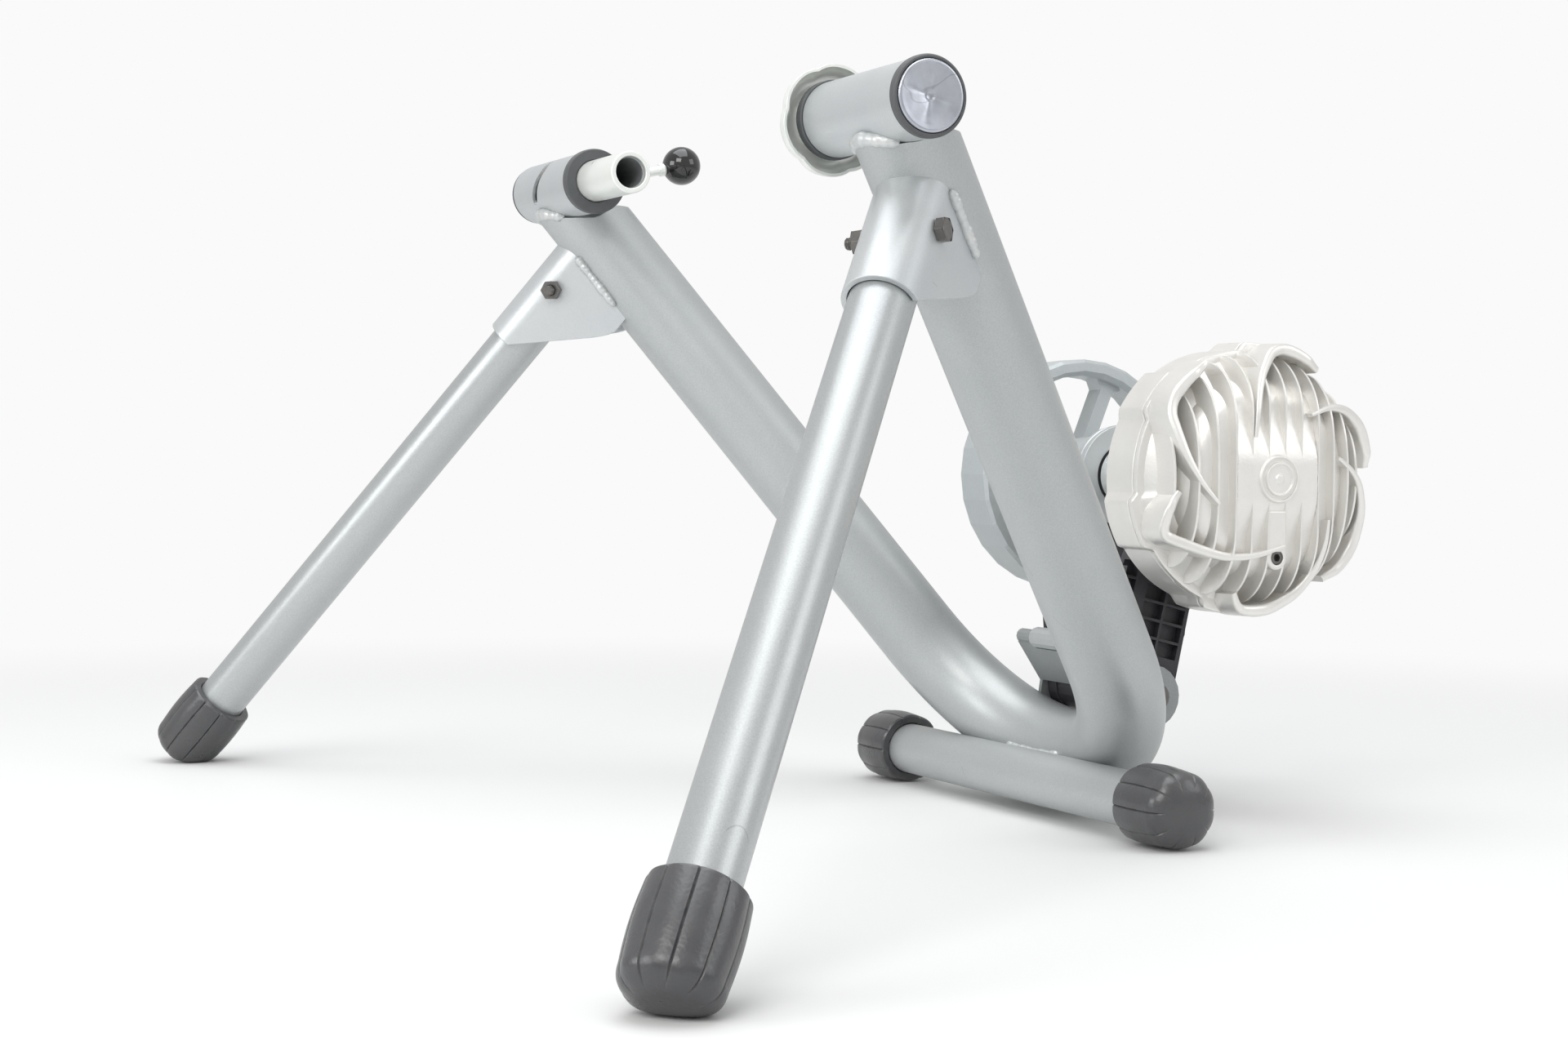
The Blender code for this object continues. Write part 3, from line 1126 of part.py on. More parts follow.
def make_housing():
    """Back half of the fluid unit: a hollow drum on a short neck, with stepped ledges underneath."""
    frame = along(roller_axis, X)
    neck = HOUSING_NECK_DIAMETER / 2
    back = HOUSING_BACK_DIAMETER / 2
    seam = HOUSING_SEAM_DIAMETER / 2
    wall = HOUSING_WALL
    bend = HOUSING_ROUNDING
    seal = SEAL_DIAMETER / 2
    near = yoke_face + TOUCH
    floor = housing_back + wall
    seal_back = floor - SEAL_THICKNESS
    outside = [(seam, housing_seam), (back, housing_back + bend), (back - bend, housing_back),
               (neck, housing_back), (neck, near)]
    inside = [(seal - wall, near), (seal - wall, seal_back), (seal, seal_back), (seal, floor),
              (back - bend, floor), (back - wall, floor + bend), (seam - wall, housing_seam)]
    housing = turned("unit_housing", outside + inside, frame, CAST_ALUMINIUM, WIDE_STEPS, closed=True)
    lobe_r = BLADE_RIM_DIAMETER / 2 - LOBE_SETBACK
    for i in range(BLADE_COUNT):
        corner = BLADE_CORNER_ANGLE + 2 * pi * i / BLADE_COUNT
        join(housing, sector("housing_lobe", corner - LOBE_BEFORE_CORNER, corner + LOBE_AFTER_CORNER,
                             lobe_r, housing_back + LOBE_FROM_BACK))
    for i, start in enumerate(LEDGE_STARTS):
        join(housing, sector("housing_ledge", start, LEDGE_END, LEDGE_DIAMETER / 2 + LEDGE_WIDENING * i,
                             housing_back + LEDGE_FROM_BACK + LEDGE_STEP * (i + 1)))
    return housing, ring("shaft_seal", SHAFT_R + RUNNING_GAP, seal - TOUCH, seal_back + TOUCH, floor,
                         frame, RUBBER)


def dome_points(flat, foot, top, low, steps):
    """(radius, height) points of a dome, from the edge of its flat middle down to its foot."""
    points = []
    for i in range(steps + 1):
        angle = pi / 2 * i / steps
        height = low + (top - low) * max(cos(angle), 0) ** DOME_POWER
        points.append((flat + (foot - flat) * sin(angle), height))
    return points


def blade_line():
    """Polar path of a guard blade: along the rim, round its corner, then sweeping in to the panel."""
    rim = BLADE_RIM_DIAMETER / 2
    tip = BLADE_TIP_DIAMETER / 2
    turn_in = BLADE_RIM_LENGTH / 10
    path = [(rim - BLADE_RIM_DIP, -BLADE_RIM_LENGTH),
            (rim - BLADE_RIM_DIP / 3, -BLADE_RIM_LENGTH / 2),
            (rim, -turn_in)]
    steps = 4
    for i in range(1, steps + 1):
        share = i / steps
        path.append((rim + (tip - rim) * share, turn_in + (BLADE_SWEEP - turn_in) * share ** BLADE_CURL))
    return path


def blade_outline(turn):
    """The blade's path thickened to both sides, thinner at its tip."""
    line = [Vector(on_unit(radius, angle + turn)) for radius, angle in blade_line()]
    left, right = [], []
    for i, here in enumerate(line):
        before = line[max(i - 1, 0)]
        after = line[min(i + 1, len(line) - 1)]
        step = (after - before).normalized() * BLADE_THICKNESS / 2
        if i == len(line) - 1:
            step = step * BLADE_TIP_SHARE
        left.append(here + Vector((-step.y, step.x)))
        right.append(here - Vector((-step.y, step.x)))
    return left + right[::-1]


def make_cover():
    """Front half of the fluid unit: hollow dome, flange, fins, blades, middle panel and drain boss."""
    frame = along(roller_axis, X)
    base = housing_seam + TOUCH
    ledge = base + COVER_FLANGE
    flange = HOUSING_SEAM_DIAMETER / 2
    foot = DOME_DIAMETER / 2
    flat = DOME_FLAT_DIAMETER / 2
    dome_top = base + DOME_HEIGHT
    front = dome_top + FIN_HEIGHT
    outside = [(0, dome_top)] + dome_points(flat, foot, dome_top, ledge + COVER_FILLET, DOME_STEPS)
    edge = [(foot + COVER_FILLET, ledge), (flange, ledge), (flange, base)]
    inside = dome_points(flat, foot - COVER_WALL, dome_top - COVER_WALL, base, DOME_STEPS - 1)
    cover = turned("finned_cover", outside + edge + inside[::-1] + [(0, dome_top - COVER_WALL)],
                   frame, CAST_ALUMINIUM, WIDE_STEPS)
    core = dome_points(flat, foot - COVER_WALL / 2, dome_top - COVER_WALL / 2, base, DOME_STEPS)
    core = core[::-1] + [(0, core[0][1])]
    fins = None
    for i in range(FIN_COUNT):
        y = roller_y + FIN_PITCH * (i - (FIN_COUNT - 1) / 2)
        fin = block("fin", (FAR, FIN_THICKNESS, FAR), Matrix.Translation((base, y, roller_z)))
        fins = fin if fins is None else join(fins, fin)
    fin_low = ledge - COVER_FLANGE / 2
    envelope = [(0, front)] + dome_points(flat, FIN_FOOT_DIAMETER / 2, front, fin_low, DOME_STEPS)
    envelope += [(core[1][0], fin_low)] + core[1:]
    keep(fins, turned("fin_envelope", envelope, spun(frame, EDGE_OFFSET)))
    join(cover, fins)
    proud = front + BLADE_PROUD
    outer = BLADE_RIM_DIAMETER / 2 + BLADE_THICKNESS
    blade_low = base + TOUCH
    envelope = [(0, proud), (BLADE_TIP_DIAMETER / 2, proud),
                (BLADE_SHOULDER_DIAMETER / 2, base + BLADE_SHOULDER_DEPTH),
                (outer, base + BLADE_RIM_DEPTH), (outer, blade_low), (core[0][0], blade_low)] + core[1:]
    blade_envelope = turned("blade_envelope", envelope, spun(frame, -EDGE_OFFSET))
    for i in range(BLADE_COUNT):
        turn = BLADE_CORNER_ANGLE + 2 * pi * i / BLADE_COUNT
        blade = plate("guard_blade", blade_outline(turn), FAR, across(base))
        keep(blade, blade_envelope)
        join(cover, blade)
    wide, high = PANEL_WIDTH / 2, PANEL_HEIGHT / 2
    bevel = PANEL_BEVEL
    corners = [(-wide, bevel - high), (bevel - wide, -high), (wide - bevel, -high), (wide, bevel - high),
               (wide, high - bevel), (wide - bevel, high), (bevel - wide, high), (-wide, high - bevel)]
    outline = [(roller_y + y, roller_z + z) for y, z in corners]
    bottom = dome_top - COVER_WALL / 2
    thick = front + PANEL_PROUD - bottom
    join(cover, plate("cover_panel", outline, thick, across(bottom + thick / 2)))
    medallion_top = front + PANEL_PROUD + MEDALLION_HEIGHT
    join(cover, disc("medallion", MEDALLION_DIAMETER / 2, front, medallion_top, spun(frame, EDGE_OFFSET)))
    drain_frame = spun(along((0, roller_y, roller_z - DRAIN_DROP), X), EDGE_OFFSET)
    screw_r = DRAIN_SCREW_DIAMETER / 2
    screw_floor = front - DRAIN_SCREW_LENGTH
    join(cover, disc("drain_boss", DRAIN_BOSS_DIAMETER / 2, front - DRAIN_BOSS_LENGTH, front, drain_frame,
                     None, SMALL_STEPS))
    cut(cover, disc("drain_hole", screw_r + TOUCH, screw_floor - TOUCH, front + FAR, drain_frame,
                    None, SMALL_STEPS))
    screw_top = front - DRAIN_SCREW_INSET
    screw = disc("drain_screw", screw_r, screw_floor, screw_top, drain_frame, BLACK_STEEL, SMALL_STEPS)
    cut(screw, plate("drain_socket", hexagon(screw_r), DRAIN_SOCKET_DEPTH * 2,
                     drain_frame @ Matrix.Translation((0, 0, screw_top))))
    return cover, screw


def centre_over_origin():
    """Moves everything along Y until the origin is under the middle of the trainer's box."""
    bpy.context.view_layer.update()
    depsgraph = bpy.context.evaluated_depsgraph_get()
    low, high = inf, -inf
    for piece in parts.objects:
        shape = piece.evaluated_get(depsgraph)
        for vertex in shape.data.vertices:
            y = (shape.matrix_world @ vertex.co).y
            low = min(low, y)
            high = max(high, y)
    for thing in bpy.data.objects:
        if thing.parent is None:
            thing.location.y -= (low + high) / 2


clearance = main_clearance()
make_main_tube()
add_bar_bead(make_rear_bar(clearance))
for side, prefix in ((-1, "left"), (1, "right")):
    head = make_head_tube(side, prefix + "_head_tube")
    if side < 0:
        cut_lever_slot(head)
    add_head_bead(head, side)
    add_cheek_beads(make_leg_bracket(side, prefix + "_leg_bracket", clearance), side)
    make_bush(prefix + "_inner_bush", side, head_near, -1, INNER_FLANGE - TOUCH)
    make_outer_end(prefix, side)
    make_rear_foot(side, prefix + "_rear_foot")
    make_pivot_fasteners(side, prefix)
    leg_joint = pivot(prefix + "_leg_pivot", mirrored(leg_pivot, side), mirrored(fold_axis, side))
    carry(leg_joint, make_leg(side, prefix + "_leg_tube"), make_leg_foot(side, prefix + "_leg_foot"))

plunger, rod, knob, washer = make_left_clamp()
slide = pivot("clamp_slide", (-head_inner - LEVER_SETBACK, 0, AXLE_HEIGHT), X)
lever_joint = pivot("lever_pivot", (-head_inner - LEVER_SETBACK, 0, AXLE_HEIGHT), X)
carry(lever_joint, plunger, rod, knob)
carry(slide, washer, lever_joint)
cup, nut = make_right_clamp()
carry(pivot("cup_slide", (head_inner, 0, AXLE_HEIGHT), -X), cup)
carry(pivot("star_nut_pivot", (head_inner, 0, AXLE_HEIGHT), -X), nut)

make_unit_bracket(clearance)
make_yoke_pivot()
rotor_joint = pivot("rotor_pivot", roller_axis, X)
carry(rotor_joint, *make_rotor())
unit_joint = pivot("unit_pivot", (0, pivot_y, pivot_z), X)
carry(unit_joint, make_yoke(), *make_bearings(), *make_housing(), *make_cover(), rotor_joint)
barrel, pin, screw, washer, knob = make_tension_screw()
screw_joint = pivot("tension_pivot", (0, barrel_y, barrel_z), X)
knob_joint = pivot("tension_knob_pivot", (0, barrel_y, barrel_z), screw_dir)
washer_joint = pivot("tension_washer_slide", (0, barrel_y, barrel_z), screw_dir)
carry(knob_joint, knob)
carry(washer_joint, washer, knob_joint)
carry(screw_joint, barrel, screw, washer_joint)
centre_over_origin()
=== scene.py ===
# Bike trainer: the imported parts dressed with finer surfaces, finishes, floor and light.
from math import cos, pi, radians, sin, sqrt

import bmesh
import bpy
import numpy as np
from mathutils import Matrix, Vector


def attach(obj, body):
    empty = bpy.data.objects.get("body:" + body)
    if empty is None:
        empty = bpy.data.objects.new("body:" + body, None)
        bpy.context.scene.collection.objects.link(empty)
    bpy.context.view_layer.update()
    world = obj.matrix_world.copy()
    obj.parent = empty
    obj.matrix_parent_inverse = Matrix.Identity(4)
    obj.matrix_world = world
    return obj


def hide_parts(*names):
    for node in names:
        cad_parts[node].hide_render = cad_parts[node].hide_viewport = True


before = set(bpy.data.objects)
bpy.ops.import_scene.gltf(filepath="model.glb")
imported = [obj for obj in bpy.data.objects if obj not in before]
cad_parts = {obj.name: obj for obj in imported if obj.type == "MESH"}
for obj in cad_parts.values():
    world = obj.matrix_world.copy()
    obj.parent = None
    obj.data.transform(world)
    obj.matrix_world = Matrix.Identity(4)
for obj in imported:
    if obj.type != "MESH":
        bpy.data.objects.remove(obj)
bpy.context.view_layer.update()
print("frame loaded:", len(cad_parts), "nodes")


viewpoint = {
    "place": (1.2859, -0.6519, 0.2162),
    "forward": (-0.9004, 0.4341, -0.0294),
    "up": (-0.0300, 0.0054, 0.9995),
    "focalPixels": 3051.44,
    "imageWidth": 1920,
    "sensor": 36.0,
}


def makeCamera(spec):
    # The photograph's camera: its axes give the turn, its focal length in pixels gives the lens.
    data = bpy.data.cameras.new("photoCamera")
    data.sensor_width = spec["sensor"]
    data.lens = spec["focalPixels"] * spec["sensor"] / spec["imageWidth"]
    data.clip_start, data.clip_end = 0.05, 50
    camera = bpy.data.objects.new("photoCamera", data)
    back = -Vector(spec["forward"]).normalized()
    right = Vector(spec["up"]).cross(back).normalized()
    turn = Matrix((right, back.cross(right), back)).transposed().to_4x4()
    turn.translation = Vector(spec["place"])
    camera.matrix_world = turn
    bpy.context.scene.collection.objects.link(camera)
    bpy.context.scene.camera = camera


makeCamera(viewpoint)


def put(tree, kind, inputs=None, **settings):
    # Adds a node; an input is either a plain value or the socket that feeds it.
    node = tree.nodes.new(kind)
    for key, value in settings.items():
        setattr(node, key, value)
    for key, value in (inputs or {}).items():
        if isinstance(value, bpy.types.NodeSocket):
            tree.links.new(value, node.inputs[key])
        else:
            node.inputs[key].default_value = value
    return node


def calc(tree, operation, first, second=None, clamp=False):
    inputs = {0: first} if second is None else {0: first, 1: second}
    return put(tree, "ShaderNodeMath", inputs, operation=operation, use_clamp=clamp).outputs[0]


def spread(tree, value, fromMin=0.0, fromMax=1.0, toMin=0.0, toMax=1.0):
    # Stretches a value from one span to another.
    return put(tree, "ShaderNodeMapRange", {"Value": value, "From Min": fromMin, "From Max": fromMax,
                                            "To Min": toMin, "To Max": toMax}).outputs[0]


def noise(tree, place, scale, detail, **more):
    inputs = {"Vector": place, "Scale": scale, "Detail": detail, **more}
    return put(tree, "ShaderNodeTexNoise", inputs).outputs[0]


def mottle(tree, given):
    # Soft uneven patches: layered noise stretched to run from 0 to 1.
    patches = noise(tree, given["Place"], given["Scale"], 5.0, Roughness=0.6)
    wide = calc(tree, "MULTIPLY", calc(tree, "SUBTRACT", patches, 0.5), given["Contrast"])
    return calc(tree, "ADD", wide, 0.5, clamp=True)


def grain(tree, given):
    # Fine bumps: small cells mixed with finer noise, as on sprayed or cast surfaces.
    fine = noise(tree, given["Place"], given["Scale"], 3.0)
    cells = put(tree, "ShaderNodeTexVoronoi", {"Vector": given["Place"], "Scale": given["Scale"]})
    return put(tree, "ShaderNodeMix", {"Factor": given["Cells"], 2: fine, 3: cells.outputs[0]}).outputs[0]


def scratches(tree, given):
    # Thin marks: the contour lines of a stretched noise, kept only inside patches of another noise.
    turned = put(tree, "ShaderNodeMapping", {"Vector": given["Place"], "Rotation": scratched["turn"],
                                             "Scale": scratched["stretch"]})
    lines = noise(tree, turned.outputs[0], given["Scale"], 1.0, Roughness=0.4)
    away = calc(tree, "ABSOLUTE", calc(tree, "SUBTRACT", lines, 0.5))
    thin = spread(tree, away, fromMax=given["Width"], toMin=1.0, toMax=0.0)
    field = noise(tree, given["Place"], scratched["patchScale"], 2.0)
    return calc(tree, "MULTIPLY", thin, calc(tree, "GREATER_THAN", field, given["Patches"]), clamp=True)


worn = {"turn": (0.985, 0.80), "scale": 160.0, "noise": (0.42, 0.60)}  # where the wear starts and is full
dusty = {"facing": (0.2, 1.0), "scale": 60.0}
scratched = {"turn": (0.5, 0.3, 0.8), "stretch": (1.0, 0.22, 0.45), "patchScale": 26.0}


def edgeWear(tree, given):
    # Where a rounded normal differs from the true one, broken up by noise.
    soft = put(tree, "ShaderNodeBevel", {"Radius": given["Radius"]}, samples=4)
    true = put(tree, "ShaderNodeNewGeometry")
    match = put(tree, "ShaderNodeVectorMath", {0: soft.outputs[0], 1: true.outputs["Normal"]},
                operation="DOT_PRODUCT")
    edge = spread(tree, match.outputs["Value"], *worn["turn"])
    rough = spread(tree, noise(tree, given["Place"], worn["scale"], 4.0), *worn["noise"])
    return calc(tree, "MULTIPLY", calc(tree, "MULTIPLY", edge, rough), given["Amount"], clamp=True)


def dust(tree, given):
    # Pale dust that settles on faces which look up.
    true = put(tree, "ShaderNodeNewGeometry")
    parts = put(tree, "ShaderNodeSeparateXYZ", {0: true.outputs["Normal"]})
    facing = spread(tree, parts.outputs["Z"], *dusty["facing"])
    both = calc(tree, "MULTIPLY", facing, noise(tree, given["Place"], dusty["scale"], 6.0))
    return calc(tree, "MULTIPLY", both, given["Amount"], clamp=True)


def makeEffect(build, **values):
    # A shader group that takes a place and named numbers and puts out one value.
    group = bpy.data.node_groups.new(build.__name__, "ShaderNodeTree")
    group.interface.new_socket("Place", in_out="INPUT", socket_type="NodeSocketVector")
    for label, value in values.items():
        socket = group.interface.new_socket(label, in_out="INPUT", socket_type="NodeSocketFloat")
        socket.default_value = value
    group.interface.new_socket("Value", in_out="OUTPUT", socket_type="NodeSocketFloat")
    value = build(group, group.nodes.new("NodeGroupInput").outputs)
    group.links.new(value, group.nodes.new("NodeGroupOutput").inputs[0])
    return group


effects = {
    "mottle": makeEffect(mottle, Scale=10.0, Contrast=1.0),
    "grain": makeEffect(grain, Scale=900.0, Cells=0.4),
    "scratches": makeEffect(scratches, Scale=30.0, Patches=0.62, Width=0.004),
    "edgeWear": makeEffect(edgeWear, Radius=0.001, Amount=1.0),
    "dust": makeEffect(dust, Amount=0.3),
}


def effect(tree, name, place, **values):
    # Uses one of the effects in a material, with its own numbers.
    node = tree.nodes.new("ShaderNodeGroup")
    node.node_tree = effects[name]
    tree.links.new(place, node.inputs["Place"])
    for key, value in values.items():
        node.inputs[key].default_value = value
    return node.outputs[0]


def blendColour(tree, mask, first, second):
    # The first colour where the mask is 0, the second where it is 1.
    node = put(tree, "ShaderNodeMix", data_type="RGBA")
    for index, value in ((0, mask), (6, first), (7, second)):
        if isinstance(value, bpy.types.NodeSocket):
            tree.links.new(value, node.inputs[index])
        else:
            node.inputs[index].default_value = (*value, 1.0) if index else value
    return node.outputs[2]


# How each layer of a finish is made: its effect, what its numbers are, and how strongly it covers.
layers = {
    "flakes": ("mottle", ("Contrast",)),
    "marks": ("scratches", ("Scale", "Patches", "Width", "cover")),
    "wear": ("edgeWear", ("Radius", "Amount")),
    "dust": ("dust", ("Amount",)),
}
flakeScale, flakeCover, cloudScale = 1400.0, 0.3, 3.1


def makeLook(name, spec):
    # Patchy base colour, flakes, scratches, worn edges and dust, over a finely bumped surface.
    look = bpy.data.materials.new(name)
    look.use_nodes = True
    tree = look.node_tree
    shader = tree.nodes["Principled BSDF"]
    place = put(tree, "ShaderNodeTexCoord").outputs["Object"]
    patches = effect(tree, "mottle", place, Scale=spec["patchScale"], Contrast=spec.get("patchContrast", 2.2))
    colour = blendColour(tree, patches, spec["colour"], spec["second"])
    for layer, (kind, labels) in layers.items():
        if layer in spec:
            *numbers, tint = spec[layer]
            values = dict(zip(labels, numbers))
            if layer == "flakes":
                values.update(Scale=flakeScale, cover=flakeCover)
            cover = values.pop("cover", None)
            mask = effect(tree, kind, place, **values)
            colour = blendColour(tree, calc(tree, "MULTIPLY", mask, cover) if cover else mask, colour, tint)
    tree.links.new(colour, shader.inputs["Base Color"])
    shader.inputs["Metallic"].default_value = spec["metallic"]
    cloud = effect(tree, "mottle", place, Scale=spec["patchScale"] * cloudScale, Contrast=2.0)
    low, high = spec["rough"]
    tree.links.new(spread(tree, cloud, toMin=low, toMax=high), shader.inputs["Roughness"])
    for socket, value in spec.get("fixed", {}).items():
        shader.inputs[socket].default_value = value
    scale, cells, strength, depth = spec["grain"]
    height = effect(tree, "grain", place, Scale=scale, Cells=cells)
    bump = put(tree, "ShaderNodeBump", {"Height": height, "Strength": strength, "Distance": depth})
    tree.links.new(bump.outputs[0], shader.inputs["Normal"])
    look.diffuse_color = (*spec["colour"], 1.0)
    return look


finishes = {
    "framePaint": {
        "colour": (0.395, 0.418, 0.420), "second": (0.445, 0.463, 0.463), "patchScale": 7.0,
        "flakes": (3.0, (0.66, 0.68, 0.69)), "metallic": 0.50, "rough": (0.36, 0.46),
        "marks": (34.0, 0.70, 0.0030, 0.5, (0.12, 0.12, 0.12)),
        "wear": (0.0012, 0.5, (0.42, 0.43, 0.43)),
        "dust": (0.22, (0.55, 0.54, 0.51)), "grain": (850.0, 0.3, 0.16, 0.0004),
    },
    # A copy of the frame paint made a little brighter and bluer for the legs: painted light for the stronger
    # light and bluish highlights on them.
    "legPaint": {
        "colour": (0.405, 0.430, 0.440), "second": (0.455, 0.468, 0.463), "patchScale": 5.0,
        "flakes": (3.0, (0.70, 0.72, 0.73)), "metallic": 0.65, "rough": (0.30, 0.40),
        "marks": (30.0, 0.67, 0.003, 0.4, (0.16, 0.16, 0.16)),
        "wear": (0.001, 0.4, (0.5, 0.5, 0.5)),
        "dust": (0.15, (0.6, 0.58, 0.55)), "grain": (850.0, 0.3, 0.14, 0.0004),
    },
    # Frame paint made brighter and bluer for the heads, the leg brackets and the collars: painted light for
    # the light falling on these upper parts and their bluish highlights.
    "bracketPaint": {
        "colour": (0.500, 0.532, 0.552), "second": (0.555, 0.575, 0.578), "patchScale": 14.0,
        "flakes": (2.4, (0.72, 0.74, 0.75)), "metallic": 0.55, "rough": (0.32, 0.44),
        "marks": (40.0, 0.71, 0.0022, 0.6, (0.13, 0.13, 0.14)),
        "dust": (0.2, (0.6, 0.58, 0.55)), "grain": (800.0, 0.3, 0.18, 0.0004),
    },
    # A darker copy of the frame paint for the unit bracket: painted shade for the shadow it sits in.
    "unitPaint": {
        "colour": (0.245, 0.262, 0.265), "second": (0.285, 0.300, 0.300), "patchScale": 12.0,
        "flakes": (3.0, (0.46, 0.48, 0.49)), "metallic": 0.45, "rough": (0.38, 0.50),
        "marks": (40.0, 0.69, 0.0030, 0.5, (0.09, 0.09, 0.09)),
        "dust": (0.20, (0.45, 0.44, 0.42)), "grain": (850.0, 0.3, 0.18, 0.0004),
    },
    "weldPaint": {
        "colour": (0.52, 0.545, 0.55), "second": (0.62, 0.63, 0.62), "patchScale": 90.0,
        "flakes": (3.0, (0.70, 0.72, 0.73)), "metallic": 0.5, "rough": (0.34, 0.5),
        "wear": (0.001, 0.4, (0.62, 0.62, 0.6)), "grain": (420.0, 0.5, 0.3, 0.0007),
    },
    "zincPlate": {
        "colour": (0.84, 0.87, 0.84), "second": (0.90, 0.91, 0.87), "patchScale": 30.0,
        "metallic": 0.45, "rough": (0.26, 0.38),
        "marks": (60.0, 0.66, 0.003, 0.3, (0.45, 0.46, 0.44)), "grain": (300.0, 0.2, 0.05, 0.0002),
        "wear": (0.0008, 0.5, (0.9, 0.9, 0.88)),
    },
    # Dark steel for the sheet inside the plunger's bore: painted shade in the hollow.
    "boreShadeSteel": {
        "colour": (0.34, 0.36, 0.37), "second": (0.42, 0.43, 0.43), "patchScale": 60.0,
        "metallic": 0.4, "rough": (0.35, 0.5), "grain": (400.0, 0.3, 0.2, 0.0003),
    },
    "groundSteel": {
        "colour": (0.66, 0.69, 0.70), "second": (0.76, 0.77, 0.77), "patchScale": 50.0,
        "metallic": 0.55, "rough": (0.18, 0.30),
        "marks": (90.0, 0.45, 0.006, 0.3, (0.38, 0.38, 0.38)), "grain": (600.0, 0.2, 0.06, 0.0002),
    },
    "pressedSteel": {
        "colour": (0.44, 0.46, 0.51), "second": (0.56, 0.58, 0.63), "patchScale": 60.0,
        "patchContrast": 3.0, "metallic": 1.0, "rough": (0.28, 0.42),
        "marks": (120.0, 0.42, 0.010, 0.5, (0.25, 0.25, 0.27)), "grain": (350.0, 0.3, 0.12, 0.0003),
    },
    "blackSteel": {
        "colour": (0.135, 0.130, 0.125), "second": (0.200, 0.190, 0.180), "patchScale": 120.0,
        "metallic": 0.85, "rough": (0.28, 0.48), "wear": (0.0006, 1.0, (0.42, 0.40, 0.37)),
        "grain": (500.0, 0.3, 0.2, 0.0003),
    },
    "darkPlastic": {
        "colour": (0.070, 0.075, 0.080), "second": (0.090, 0.094, 0.098), "patchScale": 40.0,
        "metallic": 0.0, "rough": (0.42, 0.58), "grain": (700.0, 0.4, 0.2, 0.0004),
        "wear": (0.0008, 0.5, (0.20, 0.20, 0.20)), "dust": (0.3, (0.35, 0.34, 0.32)),
    },
    "yokePlastic": {
        "colour": (0.022, 0.021, 0.025), "second": (0.034, 0.033, 0.038), "patchScale": 30.0,
        "metallic": 0.0, "rough": (0.40, 0.55), "grain": (600.0, 0.4, 0.25, 0.0004),
        "wear": (0.0008, 0.5, (0.10, 0.10, 0.11)), "dust": (0.5, (0.25, 0.25, 0.25)),
    },
    "ballPlastic": {
        "colour": (0.008, 0.008, 0.009), "second": (0.014, 0.013, 0.013), "patchScale": 60.0,
        "metallic": 0.0, "rough": (0.03, 0.06), "grain": (120.0, 0.0, 0.02, 0.0002),
        "dust": (0.01, (0.2, 0.2, 0.2)),
        "fixed": {"Coat Weight": 0.6, "Coat Roughness": 0.03},
    },
    "footRubber": {
        "colour": (0.036, 0.037, 0.041), "second": (0.062, 0.062, 0.064), "patchScale": 20.0,
        "metallic": 0.0, "rough": (0.24, 0.38), "grain": (520.0, 0.5, 0.25, 0.0005),
        "marks": (80.0, 0.6, 0.004, 0.4, (0.14, 0.14, 0.14)),
        "wear": (0.0014, 0.6, (0.15, 0.15, 0.15)), "dust": (0.30, (0.24, 0.24, 0.24)),
        "fixed": {"Specular IOR Level": 0.8},
    },
    "castSilver": {
        "colour": (0.76, 0.745, 0.715), "second": (0.85, 0.84, 0.81), "patchScale": 22.0,
        "flakes": (2.4, (0.88, 0.87, 0.85)), "metallic": 0.62, "rough": (0.34, 0.46),
        "wear": (0.0012, 0.5, (0.86, 0.85, 0.82)), "dust": (0.22, (0.50, 0.44, 0.36)),
        "grain": (650.0, 0.4, 0.22, 0.0005),
    },
    "wheelPaint": {
        "colour": (0.45, 0.49, 0.50), "second": (0.51, 0.54, 0.545), "patchScale": 16.0,
        "flakes": (2.0, (0.55, 0.58, 0.59)), "metallic": 0.35, "rough": (0.40, 0.52),
        "wear": (0.0014, 0.6, (0.52, 0.54, 0.54)), "dust": (0.25, (0.5, 0.49, 0.47)),
        "grain": (380.0, 0.5, 0.3, 0.0007),
    },
    "brassPlain": {
        "colour": (0.62, 0.45, 0.20), "second": (0.70, 0.53, 0.27), "patchScale": 60.0,
        "metallic": 1.0, "rough": (0.25, 0.4), "grain": (500.0, 0.2, 0.1, 0.0003),
    },
}
looks = {name: makeLook(name, spec) for name, spec in finishes.items()}
print("finishes:", len(looks))


def unit(v):
    # Vectors divided by their lengths.
    v = np.asarray(v, float)
    return v / np.maximum(np.linalg.norm(v, axis=-1, keepdims=True), 1e-12)


def smooth(value):
    # A step from 0 to 1 with level ends.
    value = np.clip(value, 0, 1)
    return value * value * (3 - 2 * value)


def squareTo(axis):
    # Two directions square to an axis and to each other.
    axis = unit(axis)
    hint = np.array([0.0, 0, 1]) if abs(axis[2]) < 0.9 else np.array([1.0, 0, 0])
    first = unit(np.cross(hint, axis))
    return first, np.cross(axis, first)


def gridFaces(rows, columns, closeRows, closeColumns, start):
    # Four-sided faces between neighbouring points of a grid, wrapped where it is closed.
    i = np.arange(rows if closeRows else rows - 1)[:, None]
    j = np.arange(columns if closeColumns else columns - 1)[None, :]
    i2, j2 = (i + 1) % rows, (j + 1) % columns
    quads = np.stack([i * columns + j, i * columns + j2, i2 * columns + j2, i2 * columns + j], -1)
    return (quads.reshape(-1, 4) + start).tolist()


def facePiece(mesh):
    # Merges doubled points and turns the faces outwards.
    shape = bmesh.new()
    shape.from_mesh(mesh)
    bmesh.ops.remove_doubles(shape, verts=shape.verts, dist=2e-6)
    bmesh.ops.dissolve_degenerate(shape, edges=shape.edges, dist=1e-6)
    bmesh.ops.recalc_face_normals(shape, faces=shape.faces)
    shape.to_mesh(mesh)
    shape.free()


